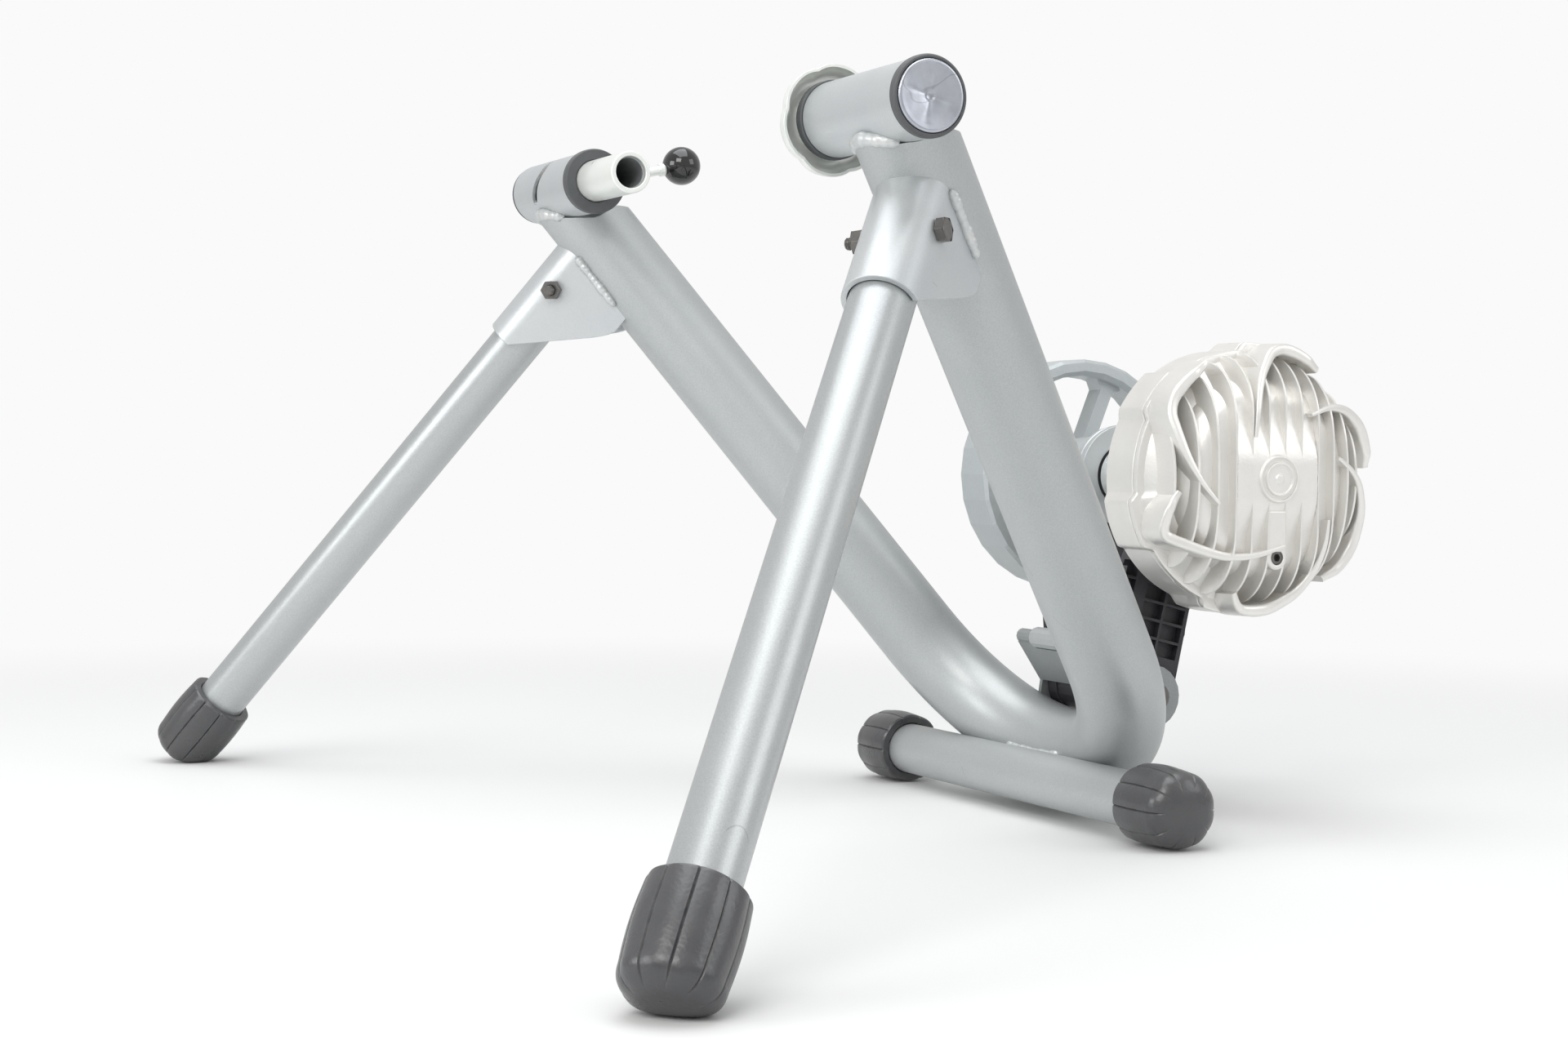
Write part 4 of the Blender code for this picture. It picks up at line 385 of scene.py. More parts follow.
def roundEdges(piece, width):
    # Rounds the edges that turn by more than 35 degrees, if a width is given, and evens the shading.
    if width:
        bevel = piece.modifiers.new("edges", "BEVEL")
        bevel.width, bevel.segments = width, 2
        bevel.limit_method, bevel.angle_limit = "ANGLE", radians(35)
    piece.modifiers.new("normals", "WEIGHTED_NORMAL").keep_sharp = True


def addPiece(name, shells, style, caps=()):
    # Grid shells, given as (points, closed rows, closed columns), joined into one finished piece.
    points, faces, count = [], [], 0
    for grid, closeRows, closeColumns in shells:
        grid = np.asarray(grid, float)
        points.append(grid.reshape(-1, 3))
        faces += gridFaces(grid.shape[0], grid.shape[1], closeRows, closeColumns, count)
        count += grid.shape[0] * grid.shape[1]
    for ring in caps:
        points.append(np.asarray(ring, float))
        faces.append(list(range(count, count + len(ring))))
        count += len(ring)
    mesh = bpy.data.meshes.new(name)
    mesh.from_pydata(np.concatenate(points).tolist(), [], faces)
    facePiece(mesh)
    mesh.shade_smooth()
    mesh.set_sharp_from_angle(angle=radians(style.get("sharp", 40)))
    piece = bpy.data.objects.new(name, mesh)
    bpy.context.scene.collection.objects.link(piece)
    mesh.materials.append(looks[style["look"]])
    roundEdges(piece, style.get("bevel"))
    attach(piece, style.get("body", "frame"))
    if "stands" in style:
        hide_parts(*style["stands"])
    return piece


def soften(points, radius, closed=False, steps=5):
    # Each corner of a line becomes a parabola that leaves both its sides a radius away.
    p = np.asarray(points, float)
    before, after = np.roll(p, 1, 0) - p, np.roll(p, -1, 0) - p
    long = np.minimum(np.linalg.norm(before, axis=1), np.linalg.norm(after, axis=1))
    reach = np.minimum(np.broadcast_to(radius, len(p)), 0.48 * long)[:, None]
    t = np.linspace(0, 1, steps)[None, :, None]
    first, last = p + unit(before) * reach, p + unit(after) * reach
    curve = (1 - t) ** 2 * first[:, None] + 2 * t * (1 - t) * p[:, None] + t ** 2 * last[:, None]
    if not closed:
        curve[0], curve[-1] = p[0], p[-1]
    return curve.reshape(-1, p.shape[1])


def lathe(profile, origin, axis, steps=96, spin=0.0, radiusOf=None, heightOf=None):
    # A (radius, height) line turned about an axis: origin + height * axis + radius * (cos, sin).
    profile = np.asarray(profile, float)
    angle = np.linspace(0, 2 * pi, steps, endpoint=False)[None, :]
    radius = np.repeat(profile[:, :1], steps, 1)
    height = np.repeat(profile[:, 1:2], steps, 1)
    if heightOf:
        height = heightOf(radius, height, angle)
    if radiusOf:
        radius = radiusOf(radius, height, angle)
    first, second = squareTo(axis)
    around = np.cos(angle + spin)[..., None] * first + np.sin(angle + spin)[..., None] * second
    return np.asarray(origin) + height[..., None] * unit(axis) + radius[..., None] * around


def sweep(path, section, normal):
    # A cross-section carried along a path: path + u * side + v * up, up being square to the path.
    along = unit(np.gradient(path, axis=0))
    side = unit(np.cross(along, np.broadcast_to(normal, path.shape)))
    up = np.cross(side, along)
    return path[:, None] + section[..., :1] * side[:, None] + section[..., 1:2] * up[:, None]


def capped(grid):
    # Draws both ends of a swept grid in to a point at their middles.
    first = np.broadcast_to(grid[0].mean(0), grid[0].shape)[None]
    last = np.broadcast_to(grid[-1].mean(0), grid[-1].shape)[None]
    return np.concatenate([first, grid, last])


def circle(steps):
    # Points (cos, sin) round a circle of radius one.
    angle = np.linspace(0, 2 * pi, steps, endpoint=False)
    return np.stack([np.cos(angle), np.sin(angle)], -1)


def inwardOf(outline):
    # For each corner of a closed outline, the way in, long enough to keep the sides parallel.
    p = np.asarray(outline, float)
    after = unit(np.roll(p, -1, 0) - p)
    normal = np.stack([-after[:, 1], after[:, 0]], -1)
    middle = unit(normal + np.roll(normal, 1, 0))
    share = np.clip((middle * normal).sum(1), 0.5, 1)[:, None]
    area = (p[:, 0] * np.roll(p[:, 1], -1) - p[:, 1] * np.roll(p[:, 0], -1)).sum()
    return middle / share * np.sign(area)


def slab(outline, low, high, edge, toWorld):
    # A flat plate between two levels, its outline drawn in by a quarter round at both faces.
    outline = np.asarray(outline, float)
    turn = np.linspace(0, pi / 2, 4)
    insets = np.concatenate([1 - np.sin(turn), 1 - np.cos(turn)]) * edge
    levels = np.concatenate([low + edge * (1 - np.cos(turn)), high - edge * (1 - np.sin(turn))])
    rings = outline[None] + inwardOf(outline)[None] * insets[:, None, None]
    level = np.broadcast_to(levels[:, None, None], (*rings.shape[:2], 1))
    world = toWorld(np.concatenate([rings, level], -1))
    return world, [world[0], world[-1]]


def acrossX(grid):
    # (y, z, x) points to world (x, y, z).
    return grid[..., [2, 0, 1]]


def turnedPiece(name, profile, origin, axis, style, softness=0.0005, closed=False, **shape):
    # A lathe form as a finished piece; its corners are rounded by the softness.
    line = soften(profile, softness, closed)
    return addPiece(name, [(lathe(line, origin, axis, **shape), closed, True)], style)


def hexEdge(width, angle):
    # How far out a hexagon reaches at each angle, by its width across flats.
    return (width / 2) / np.cos((angle % (pi / 3)) - pi / 6)


def hexRadius(width):
    # A radius rule for a lathe: its outermost rows follow the hexagon, the others stay round.
    return lambda radius, height, angle: np.where(radius > width * 0.46, hexEdge(width, angle), radius)


def hexHead(width, low, high, hole=0.0):
    # Profile rows and a height rule that turn a lathe into a chamfered hexagon head or nut.
    rows = [(hole, low), (width * 0.45, low), (width / 2, low), (width / 2, high), (width * 0.45, high),
            (hole, high)]

    def heightOf(radius, height, angle):
        over = np.where(radius > width * 0.46, hexEdge(width, angle), 0)
        drop = np.maximum(over - width * 0.49, 0) * 0.9
        raised = np.where(height <= low, height + drop * (hole > 0), height)
        return np.where(height >= high, height - drop, raised)
    return rows, heightOf


# The frame's sizes, repeated from the part's source.
shared = {
    "rear": -0.08527938,        # how far the whole trainer was moved along Y
    "axleHeight": 0.3815, "armSpread": 0.4472, "armSlope": 54.6, "convergence": 18.0,
    "bendHeight": 0.0342, "armSetback": 0.0025, "tube": 0.0254, "tubeWall": 0.0020,
    "head": 0.01905, "headWall": 0.0020, "headNear": 0.1674, "headFar": 0.2599,
    "leg": 0.015875, "legWall": 0.0016, "footSpread": 0.8310, "footReach": 0.1896,
    "footHeight": 0.0222, "pivotDrop": 0.0468, "foldGap": 0.0012,
    "touch": 0.0003,            # gap kept between pieces that fit together
}
xAxis = np.array([1.0, 0, 0])
axle = np.array([0, shared["rear"], shared["axleHeight"]])
slopeAngle, convergence = radians(shared["armSlope"]), radians(shared["convergence"])
slope = np.array([0, cos(slopeAngle), -sin(slopeAngle)])
slopeLength = (shared["axleHeight"] - shared["bendHeight"]) / sin(slopeAngle)
bendShare = (1 - sin(convergence)) / cos(convergence)
armLength = ((slopeLength - bendShare * shared["armSpread"] / 2)
             / (cos(convergence) - bendShare * sin(convergence)))
bendRadius = (shared["armSpread"] / 2 - armLength * sin(convergence)) / cos(convergence)
armTop = np.array([shared["armSpread"] / 2, shared["armSetback"] + shared["rear"], shared["axleHeight"]])
armDir = slope * cos(convergence) - xAxis * sin(convergence)
bendBottom = np.array([0, shared["armSetback"] + shared["rear"] + slopeLength * slope[1],
                       shared["bendHeight"]])
bendCentre = bendBottom - slope * bendRadius
planeNormal = np.cross(xAxis, slope)
footPoint = np.array([shared["footSpread"] / 2, shared["rear"] - shared["footReach"], shared["footHeight"]])
toFoot = footPoint - armTop
offArm = unit(toFoot - armDir * (toFoot @ armDir))
legPivot = (armTop + armDir * shared["pivotDrop"]
            + offArm * (shared["tube"] + shared["leg"] + shared["foldGap"]))
legDir = unit(footPoint - legPivot)
legLength = np.linalg.norm(footPoint - legPivot)
foldAxis = unit(np.cross(legDir, armDir))
inward = unit(armDir - legDir * (armDir @ legDir))


sideNames = {-1: "left", 1: "right"}


def sided(vector, side):
    # The right side's place or direction as it is, or mirrored in X for the left.
    return np.asarray(vector, float) * (side, 1, 1)


# Main tube: both arms and the bend between them.
mainTube = {"look": "framePaint", "slot": "frame_paint", "stands": ["main_frame_tube"],
            "around": 96, "alongArm": 12, "alongBend": 90, "frontTrim": 0.0200, "backTrim": 0.0110}


def makeMainTube(spec):
    # A circle carried down one arm, round the bend and up the other; each wall line starts where
    # it leaves the head's cylinder or the level trim, whichever is lower.
    angle = np.linspace(0, 2 * pi, spec["around"], endpoint=False)[:, None]

    def halfTube(radius, side):
        down = sided(armDir, side)
        across = unit(np.cross(down, planeNormal)) * side
        ring = radius * (np.cos(angle) * planeNormal + np.sin(angle) * across)
        base = sided(armTop, side) + ring
        back = smooth((ring[:, 1] + 0.010) / 0.018)
        level = shared["axleHeight"] - spec["frontTrim"] + (spec["frontTrim"] - spec["backTrim"]) * back
        trim = (base[:, 2] - level) / -down[2]
        gap, run = base[:, 1:] - axle[1:], down[1:]
        a, b = run @ run, 2 * gap @ run
        c = (gap ** 2).sum(1) - (shared["head"] + shared["touch"]) ** 2
        root = b ** 2 - 4 * a * c
        leave = np.where(root > 0, (-b + np.sqrt(np.maximum(root, 0))) / (2 * a), -1)
        start = np.maximum(trim, leave)
        t = np.linspace(0, 1, spec["alongArm"])[:, None, None]
        return base + down * (start[:, None] + (armLength - start[:, None]) * t)

    def skin(radius):
        turn = np.linspace(convergence, pi - convergence, spec["alongBend"])[1:-1, None, None]
        out = np.cos(turn) * xAxis + np.sin(turn) * slope
        ring = radius * (np.cos(angle) * planeNormal + np.sin(angle) * out)
        bend = bendCentre + bendRadius * out + ring
        return np.concatenate([halfTube(radius, 1), bend, halfTube(radius, -1)[::-1]])

    outer, inner = skin(shared["tube"]), skin(shared["tube"] - shared["tubeWall"])
    addPiece("main_tube", [(np.concatenate([outer, inner[::-1]]), True, True)], spec)


makeMainTube(mainTube)


# Rear bar, with its wall showing where the caps end.
rearBar = {"look": "framePaint", "slot": "frame_paint", "stands": ["rear_bar"],
           "y": 0.12619, "height": 0.0222, "halfLength": 0.1685}


def makeRearBar(spec):
    # An open tube: the outer radius from end to end, and back by the inner one.
    wall, end = shared["leg"] - shared["legWall"], spec["halfLength"]
    line = [(shared["leg"], -end), (shared["leg"], end), (wall, end), (wall, -end)]
    turnedPiece("rear_tube", line, (0, spec["y"], spec["height"]), xAxis, spec, closed=True)


def bead(name, path, radius, spec, seed):
    # A weld bead: a round section whose size swells with every puddle along the path.
    path = np.asarray(path, float)
    run = np.concatenate([[0], np.cumsum(np.linalg.norm(np.diff(path, axis=0), axis=1))])
    count = int(run[-1] / (radius * spec["fine"])) + 8
    t = np.linspace(0, run[-1], count)
    path = np.stack([np.interp(t, run, path[:, k]) for k in range(3)], -1)
    pitch, ripple = radius * spec["puddle"], spec["ripple"]
    swell = (1 - ripple) + ripple * np.abs(np.sin(pi * t / pitch + seed))
    wander = 0.08 * np.sin(t / radius * 0.9 + seed * 3) + 0.05 * np.sin(t / radius * 2.3 + seed)
    ends = np.sqrt(np.clip(np.minimum(t, run[-1] - t) / (radius * 0.9), 0.02, 1))
    size = (radius * (swell + wander - 0.08) * ends)[:, None, None]
    section = circle(spec["around"])[None] * size
    along = path[-1] - path[0]
    normal = squareTo(along)[0]
    addPiece(name, [(capped(sweep(path, section, normal)), False, True)], spec)


# Puddle and fine are the ripples' pitch and the rows' spacing, as shares of the bead's radius.
beads = {"look": "weldPaint", "slot": "frame_paint", "sharp": 60, "puddle": 1.15, "ripple": 0.10,
         "fine": 0.22, "around": 18, "rear": 0.0026, "rearHalf": 0.029, "rearOut": 0.0010,
         "strip": 0.0040, "bracket": 0.0029}
makeRearBar(rearBar)


def makeRearBead(spec):
    # For each X, the upper point where circles a little wider than the bend and the bar cross.
    x = np.linspace(-spec["rearHalf"], spec["rearHalf"], 60)[:, None]
    drop = bendRadius - np.sqrt(bendRadius ** 2 - x ** 2)
    bend = bendBottom + x * xAxis - slope * drop
    bar = np.array([0, rearBar["y"], rearBar["height"]]) + x * xAxis
    apart = np.linalg.norm(bar - bend, axis=1, keepdims=True)
    toBar = (bar - bend) / apart
    wide, narrow = shared["tube"] + spec["rearOut"], shared["leg"] + spec["rearOut"]
    along = (apart ** 2 + wide ** 2 - narrow ** 2) / (2 * apart)
    high = np.sqrt(wide ** 2 - along ** 2)
    bead("rear_bead", bend + toBar * along + np.cross(toBar, xAxis) * high, spec["rear"], spec, 0.4)


makeRearBead(beads)


# Head tubes: two skins of rolled wall; the left one's curved slot is cut between two grids.
# The heads take the brighter copy of the frame paint, which holds painted light.
heads = {"look": "bracketPaint", "slot": "frame_paint",
         "slotHalf": 0.0040, "slotStart": 12.0, "slotEnd": 213.0,  # half width, then the ends in degrees
         "taper": 9.0, "tailTaper": 16.0,                          # how far each end narrows, in degrees
         "plainFrom": -148}                                        # first row outside the slot


def slotMiddle(degrees):
    # The slot's middle line: X by the angle round the head, through the clamp's rest point.
    angle = [-20, 13.4, 60, 100, 149, 173.4, 195, 211, 240]
    place = [-0.2246, -0.2239, -0.2205, -0.2165, -0.2122, -0.2172, -0.2215, -0.2250, -0.2262]
    return np.interp(degrees, angle, place)


def makeRightHead(spec):
    # An open tube about the axle line, as long as the gap between its bushes' flanges.
    outer, inner = shared["head"], shared["head"] - shared["headWall"]
    near, far = shared["headNear"] + shared["touch"], shared["headFar"] - shared["touch"]
    line = [(outer, near), (outer, far), (inner, far), (inner, near)]
    turnedPiece("right_head", line, axle, xAxis, {**spec, "stands": ["right_head_tube"]}, closed=True,
                steps=120)


def makeLeftHead(spec):
    # Skins r(cos, sin) about the axle line, whose X runs from each end to the slot's edge.
    start, end = spec["slotStart"] - 3, spec["slotEnd"] + 3
    degrees = np.concatenate([np.arange(spec["plainFrom"], start, 4), np.linspace(start, end, 110)[:-1]])
    reach = np.minimum(degrees - spec["slotStart"], spec["slotEnd"] - degrees)
    taper = np.where(degrees > 180, spec["tailTaper"], spec["taper"])
    half = spec["slotHalf"] * np.sqrt(np.clip(1 - (1 - np.clip(reach / taper, 0, 1)) ** 2, 0, 1))
    middle = slotMiddle(degrees)
    t = np.linspace(0, 1, 9)[:, None]
    near, far = -shared["headNear"] - shared["touch"], -shared["headFar"] + shared["touch"]

    def skin(radius):
        def wrap(start, end):
            x = start + (end - start) * t
            ring = np.stack([np.cos(np.radians(degrees)), np.sin(np.radians(degrees))], -1) * radius
            grid = np.concatenate([x[..., None], np.broadcast_to(ring[None], (9, len(degrees), 2))], -1)
            return grid + axle
        return wrap(near, middle + half), wrap(middle - half, far)

    outer, inner = skin(shared["head"]), skin(shared["head"] - shared["headWall"])
    shells = []
    for part in (0, 1):
        shells += [(outer[part], False, True), (inner[part], False, True)]
    # The wall's edges: at both ends and round the slot.
    shells += [(np.stack([outer[0][0], inner[0][0]]), False, True),
               (np.stack([outer[1][-1], inner[1][-1]]), False, True)]
    open = np.where(half > 0)[0]
    window = slice(open[0] - 1, open[-1] + 2)
    shells += [(np.stack([outer[0][-1], inner[0][-1]])[:, window], False, False),
               (np.stack([outer[1][0], inner[1][0]])[:, window], False, False)]
    addPiece("left_head", shells, {**spec, "stands": ["left_head_tube"]})


makeRightHead(heads)
makeLeftHead(heads)

# Bushes and discs at the ends of both heads.
bushes = {"look": "darkPlastic", "slot": "dark_plastic", "flange": 0.0200, "bore": 0.0131, "inside": 0.0220,
          "farFlange": {-1: 0.0186, 1: 0.0197}, "seat": 0.0176, "nearThick": 0.0062, "farThick": 0.0047,
          "farInside": 0.0180}
endDiscs = {"look": "pressedSteel", "slot": "plain_steel", "sharp": 30, "face": 0.2656,
            "rim": 0.0174, "crease": 0.00013, "creaseTurn": 0.5}


def makeBush(side, spec):
    # Flanged rings about the axle: one in the head's inner end, one round the disc in its outer end.
    name = sideNames[side]
    fit = shared["head"] - shared["headWall"] - shared["touch"]
    near, far, bore, flange = shared["headNear"], shared["headFar"], spec["bore"], spec["flange"]
    tip = near - spec["nearThick"]
    line = [(bore, tip), (flange - 0.0006, tip), (flange, tip + 0.0010), (flange, near),
            (fit, near), (fit, near + spec["inside"]), (bore, near + spec["inside"])]
    turnedPiece(name + "_near_bush", line, axle, xAxis * side, {**spec, "stands": [name + "_inner_bush"]},
                softness=0.0008, closed=True)
    rim, seat, tip = spec["farFlange"][side], spec["seat"], far + spec["farThick"]
    line = [(bore, far - spec["farInside"]), (fit, far - spec["farInside"]), (fit, far), (rim, far),
            (rim, tip - 0.0011), (rim - 0.0010, tip), (seat, tip), (seat, far + 0.0010),
            (bore, far + 0.0010)]
    turnedPiece(name + "_far_bush", line, axle, xAxis * side, {**spec, "stands": [name + "_outer_bush"]},
                softness=0.0006, closed=True)


def makeEndDisc(side, spec):
    # A pressed disc with a centre dimple and four creases that run out from it.
    name = sideNames[side]
    face, rim = spec["face"], spec["rim"]
    line = [(rim, face - 0.0040), (rim, face - 0.0010), (rim - 0.0006, face - 0.0002), (0.0160, face),
            (0.0140, face - 0.0003), (0.0100, face - 0.0007), (0.0060, face - 0.0011),
            (0.0030, face - 0.0016), (0.0014, face - 0.0026), (0.0, face - 0.0028)]

    def crease(radius, height, angle):
        share = np.clip((radius - 0.001) / 0.003, 0, 1) * np.clip((0.0150 - radius) / 0.004, 0, 1)
        return height - spec["crease"] * share * np.abs(np.cos(2 * angle + spec["creaseTurn"])) ** 24
    turnedPiece(name + "_disc", line, axle, xAxis * side, {**spec, "stands": [name + "_end_disc"]},
                softness=0.0006, heightOf=crease, steps=160)


def makeHeadStrip(side, spec):
    # The front weld, laid half way between the arm's mouth and the head's underside.
    name = sideNames[side]
    down = sided(armDir, side)
    across = unit(np.cross(down, planeNormal)) * side
    angle = np.linspace(1.24 * pi, 0.72 * pi, 60)[:, None]
    ring = np.cos(angle) * planeNormal + np.sin(angle) * across
    base = sided(armTop, side) + (shared["tube"] - 0.0008) * ring
    rim = shared["axleHeight"] - mainTube["frontTrim"]
    path = base + down * ((base[:, 2] - rim) / -down[2])[:, None]
    reach = np.clip(np.abs(path[:, 1] - axle[1]), 0, shared["head"] * 0.98)
    path[:, 2] = (rim + axle[2] - np.sqrt(shared["head"] ** 2 - reach ** 2)) / 2
    bead(name + "_head_strip", path, spec["strip"], spec, side)


for side in (-1, 1):
    makeBush(side, bushes)
    makeEndDisc(side, endDiscs)
    makeHeadStrip(side, beads)

# Legs, feet and brackets.
# The legs take the brighter copy of the frame paint, which holds painted light.
legs = {"look": "legPaint", "slot": "frame_paint", "past": 0.0127}
feet = {"look": "footRubber", "slot": "rubber", "radius": 0.0230, "dome": 0.0135, "flutes": 10,
        "fluteDeep": 0.0010, "grooveWide": 0.14, "grooveShare": 0.75, "flatShare": 0.55}
legCup = {"mouth": -0.0285, "shoulder": 0.0100}  # along the leg from the foot point
rearCup = {"mouth": 0.1345, "shoulder": 0.1650}  # along X from the middle of the rear bar


def makeLeg(side, spec):
    # A tube that ends in a half ball about the pivot: radius by the sine, height by the cosine.
    name = sideNames[side]
    leg, wall, end = shared["leg"], shared["leg"] - shared["legWall"], legLength + spec["past"]
    turn = np.linspace(0.05, pi / 2, 14)
    top = np.stack([leg * np.sin(turn), -leg * np.cos(turn)], -1)
    line = np.concatenate([[(0.0, -leg)], top, [(leg, end), (wall, end), (wall, 0.02), (0.0, 0.02)]])
    turnedPiece(name + "_leg", line, sided(legPivot, side), sided(legDir, side),
                {**spec, "body": name + "_leg", "stands": [name + "_leg_tube"]}, softness=0.0003)


def fluted(spec, domeTop):
    # Wide flat flutes round the cup and over its dome, each with a thin groove between petals.
    def radiusOf(radius, height, angle):
        along = np.clip((height - spec["lipEnd"]) / 0.002, 0, 1)
        near = np.clip((domeTop - 0.0009 - height) / 0.002, 0, 1)
        beat = np.abs(np.sin(spec["flutes"] * angle / 2))
        groove = np.clip(1 - beat / spec["grooveWide"], 0, 1)
        flat = spec["flatShare"] * (1 - beat)
        share = along * near * (radius > spec["radius"] * 0.35)
        deep = spec["fluteDeep"] * share * (groove * spec["grooveShare"] + flat)
        return radius - deep * np.clip(radius / spec["radius"], 0, 1)
    return radiusOf


def cupLine(spec, bore, mouth, shoulder, dome):
    # Bore, rounded rim, slightly barrelled wall, and a dome that is nearly flat on its end.
    radius = spec["radius"]
    turn = np.linspace(pi / 2, 0.02, 22)
    line = [(bore, mouth + 0.012), (bore, mouth + 0.001), (bore + 0.0008, mouth), (radius - 0.0022, mouth),
            (radius - 0.0012, mouth + 0.0008)]
    wall = [(radius - 0.0010 + 0.0010 * sin(pi * k / 17), h)
            for k, h in enumerate(np.linspace(mouth + 0.0014, shoulder, 18))]
    end = np.stack([(radius - 0.0010) * np.sin(turn) ** 0.8, shoulder + dome * np.cos(turn) ** 0.8], -1)
    return np.array(line + wall + end.tolist() + [(0.0, shoulder + dome)])


def settled(z, soft=0.0045):
    # Rubber pressed on the floor: heights inside the soft zone follow a parabola that ends at zero.
    share = np.clip((z + soft) / (2 * soft), 0, 1)
    return np.where(z > soft, z, soft * share ** 2)


def makeCup(name, origin, axis, spec, place):
    # A cup on the end of a tube; where it meets the floor its points are pressed flat.
    mouth, shoulder = place["mouth"], place["shoulder"]
    spec = {**spec, **place, "sharp": 32, "lipEnd": mouth - 0.001}
    line = cupLine(spec, shared["leg"] + shared["touch"], mouth, shoulder, spec["dome"])
    shape = fluted(spec, shoulder + spec["dome"])
    grid = lathe(line, origin, axis, steps=200, radiusOf=shape)
    grid[..., 2] = settled(grid[..., 2])
    addPiece(name, [(grid, False, True)], spec)


def makeFeet(side, spec):
    # The same cup on the leg's foot and on the rear bar's end.
    name = sideNames[side]
    makeCup(name + "_foot", sided(footPoint, side), sided(legDir, side), spec,
            {**legCup, "body": name + "_leg", "stands": [name + "_leg_foot"]})
    makeCup(name + "_rear_cup", (0, rearBar["y"], rearBar["height"]), xAxis * side, spec,
            {**rearCup, "stands": [name + "_rear_foot"]})


for side in (-1, 1):
    makeLeg(side, legs)
    makeFeet(side, feet)

# The leg brackets take the brighter copy of the frame paint, which holds painted light.
legBrackets = {"look": "bracketPaint", "slot": "frame_paint", "inner": 0.016375, "sheet": 0.0030,
               "reach": 0.048, "rise": 0.047, "drop": 0.003, "corner": 0.011, "cut": 0.02605,
               "beadOut": 0.0012, "beadSpan": (-0.006, 0.034)}


def makeLegBracket(side, spec):
    # A bent sheet round the leg: half circle and two cheeks, in leg axes (fold, inward, down). Its top
    # and bottom edges are heights below the pivot that change along the sheet.
    name = sideNames[side]
    fold, into, down = sided(foldAxis, side), sided(inward, side), sided(legDir, side)
    off = sided(offArm, side)
    half = spec["sheet"] / 2
    middle = spec["inner"] + half
    back = np.linspace(0, pi, 41)
    arc = np.stack([middle * np.cos(back), -middle * np.sin(back)], -1)
    cheek = np.linspace(spec["reach"], 0, 25)[:-1]
    across = np.full(len(cheek), middle)
    place = np.concatenate([np.stack([across, cheek], -1), arc, np.stack([-across, cheek[::-1]], -1)])
    way = np.gradient(place, axis=0)
    out = unit(np.stack([-way[:, 1], way[:, 0]], -1))
    out *= np.sign((out * place).sum(1).mean())
    deep = place[:, 1]

    def topAt(a, b):
        # Height where the sheet meets the plane square to offArm, with the arm beyond it.
        return (-spec["cut"] - a * (off @ into) - b * (off @ fold)) / (off @ down)

    share = np.clip(deep / spec["reach"], 0, 1)
    low = spec["rise"] - (spec["rise"] + spec["drop"]) * share
    near = np.clip((deep - (spec["reach"] - spec["corner"])) / spec["corner"], 0, 1)
    low = low - spec["corner"] * 0.35 * (1 - np.sqrt(np.clip(1 - near ** 2, 0, 1)))
    levels = np.linspace(0, 1, 14)

    def skin(shift):
        point = place + out * shift
        top = topAt(point[:, 1], point[:, 0])
        y = top[None] + (np.maximum(low, top + 0.0005) - top)[None] * levels[:, None]
        grid = (point[None, :, 0, None] * fold + point[None, :, 1, None] * into + y[..., None] * down)
        return grid + sided(legPivot, side)

    outer, inner = skin(half), skin(-half)
    addPiece(name + "_channel", [(np.concatenate([outer, inner[::-1]]), True, False),
                                 (np.stack([outer[:, 0], inner[:, 0]]), False, False),
                                 (np.stack([outer[:, -1], inner[:, -1]]), False, False)],
             {**spec, "stands": [name + "_leg_bracket"], "bevel": 0.0005, "sharp": 30})
    # Beads along both cheeks where they stand on the arm.
    arm = sided(armDir, side)
    for cheekSide in (-1, 1):
        sideways = cheekSide * (spec["inner"] + spec["sheet"] + spec["beadOut"])
        height = sqrt((shared["tube"] + spec["beadOut"]) ** 2 - sideways ** 2)
        t = np.linspace(*spec["beadSpan"], 30)[:, None]
        centre = sided(armTop, side) + arm * (shared["pivotDrop"] + t)
        path = centre + off * height + unit(np.cross(off, arm)) * sideways
        bead(f"{name}_bracket_bead{cheekSide + 1}", path, beads["bracket"], beads, cheekSide + side)


pivotBolts = {"look": "blackSteel", "slot": "black_steel", "shank": 0.003175, "hex": 0.0111, "head": 0.0044,
              "outer": 0.0197, "threadEnd": 0.0045, "nut": 0.0056, "pitch": 0.00127}


def screwLine(radius, start, end, pitch):
    # Rows of a thread, fine enough for the ridge; the ridge itself is cut by threadRidge.
    rows = np.linspace(start, end, int((end - start) / pitch * 10) + 2)
    return [(radius, h) for h in rows]


def threadRidge(radius, start, end, pitch, depth=0.35):
    # A helical ridge: radius falls by a triangle wave of height and angle together.
    def radiusOf(r, height, angle):
        wave = np.abs(((height / pitch + angle / (2 * pi)) % 1) * 2 - 1)
        on = (np.abs(r - radius) < 1e-6) & (height > start) & (height < end)
        return np.where(on, r - pitch * depth * wave, r)
    return radiusOf


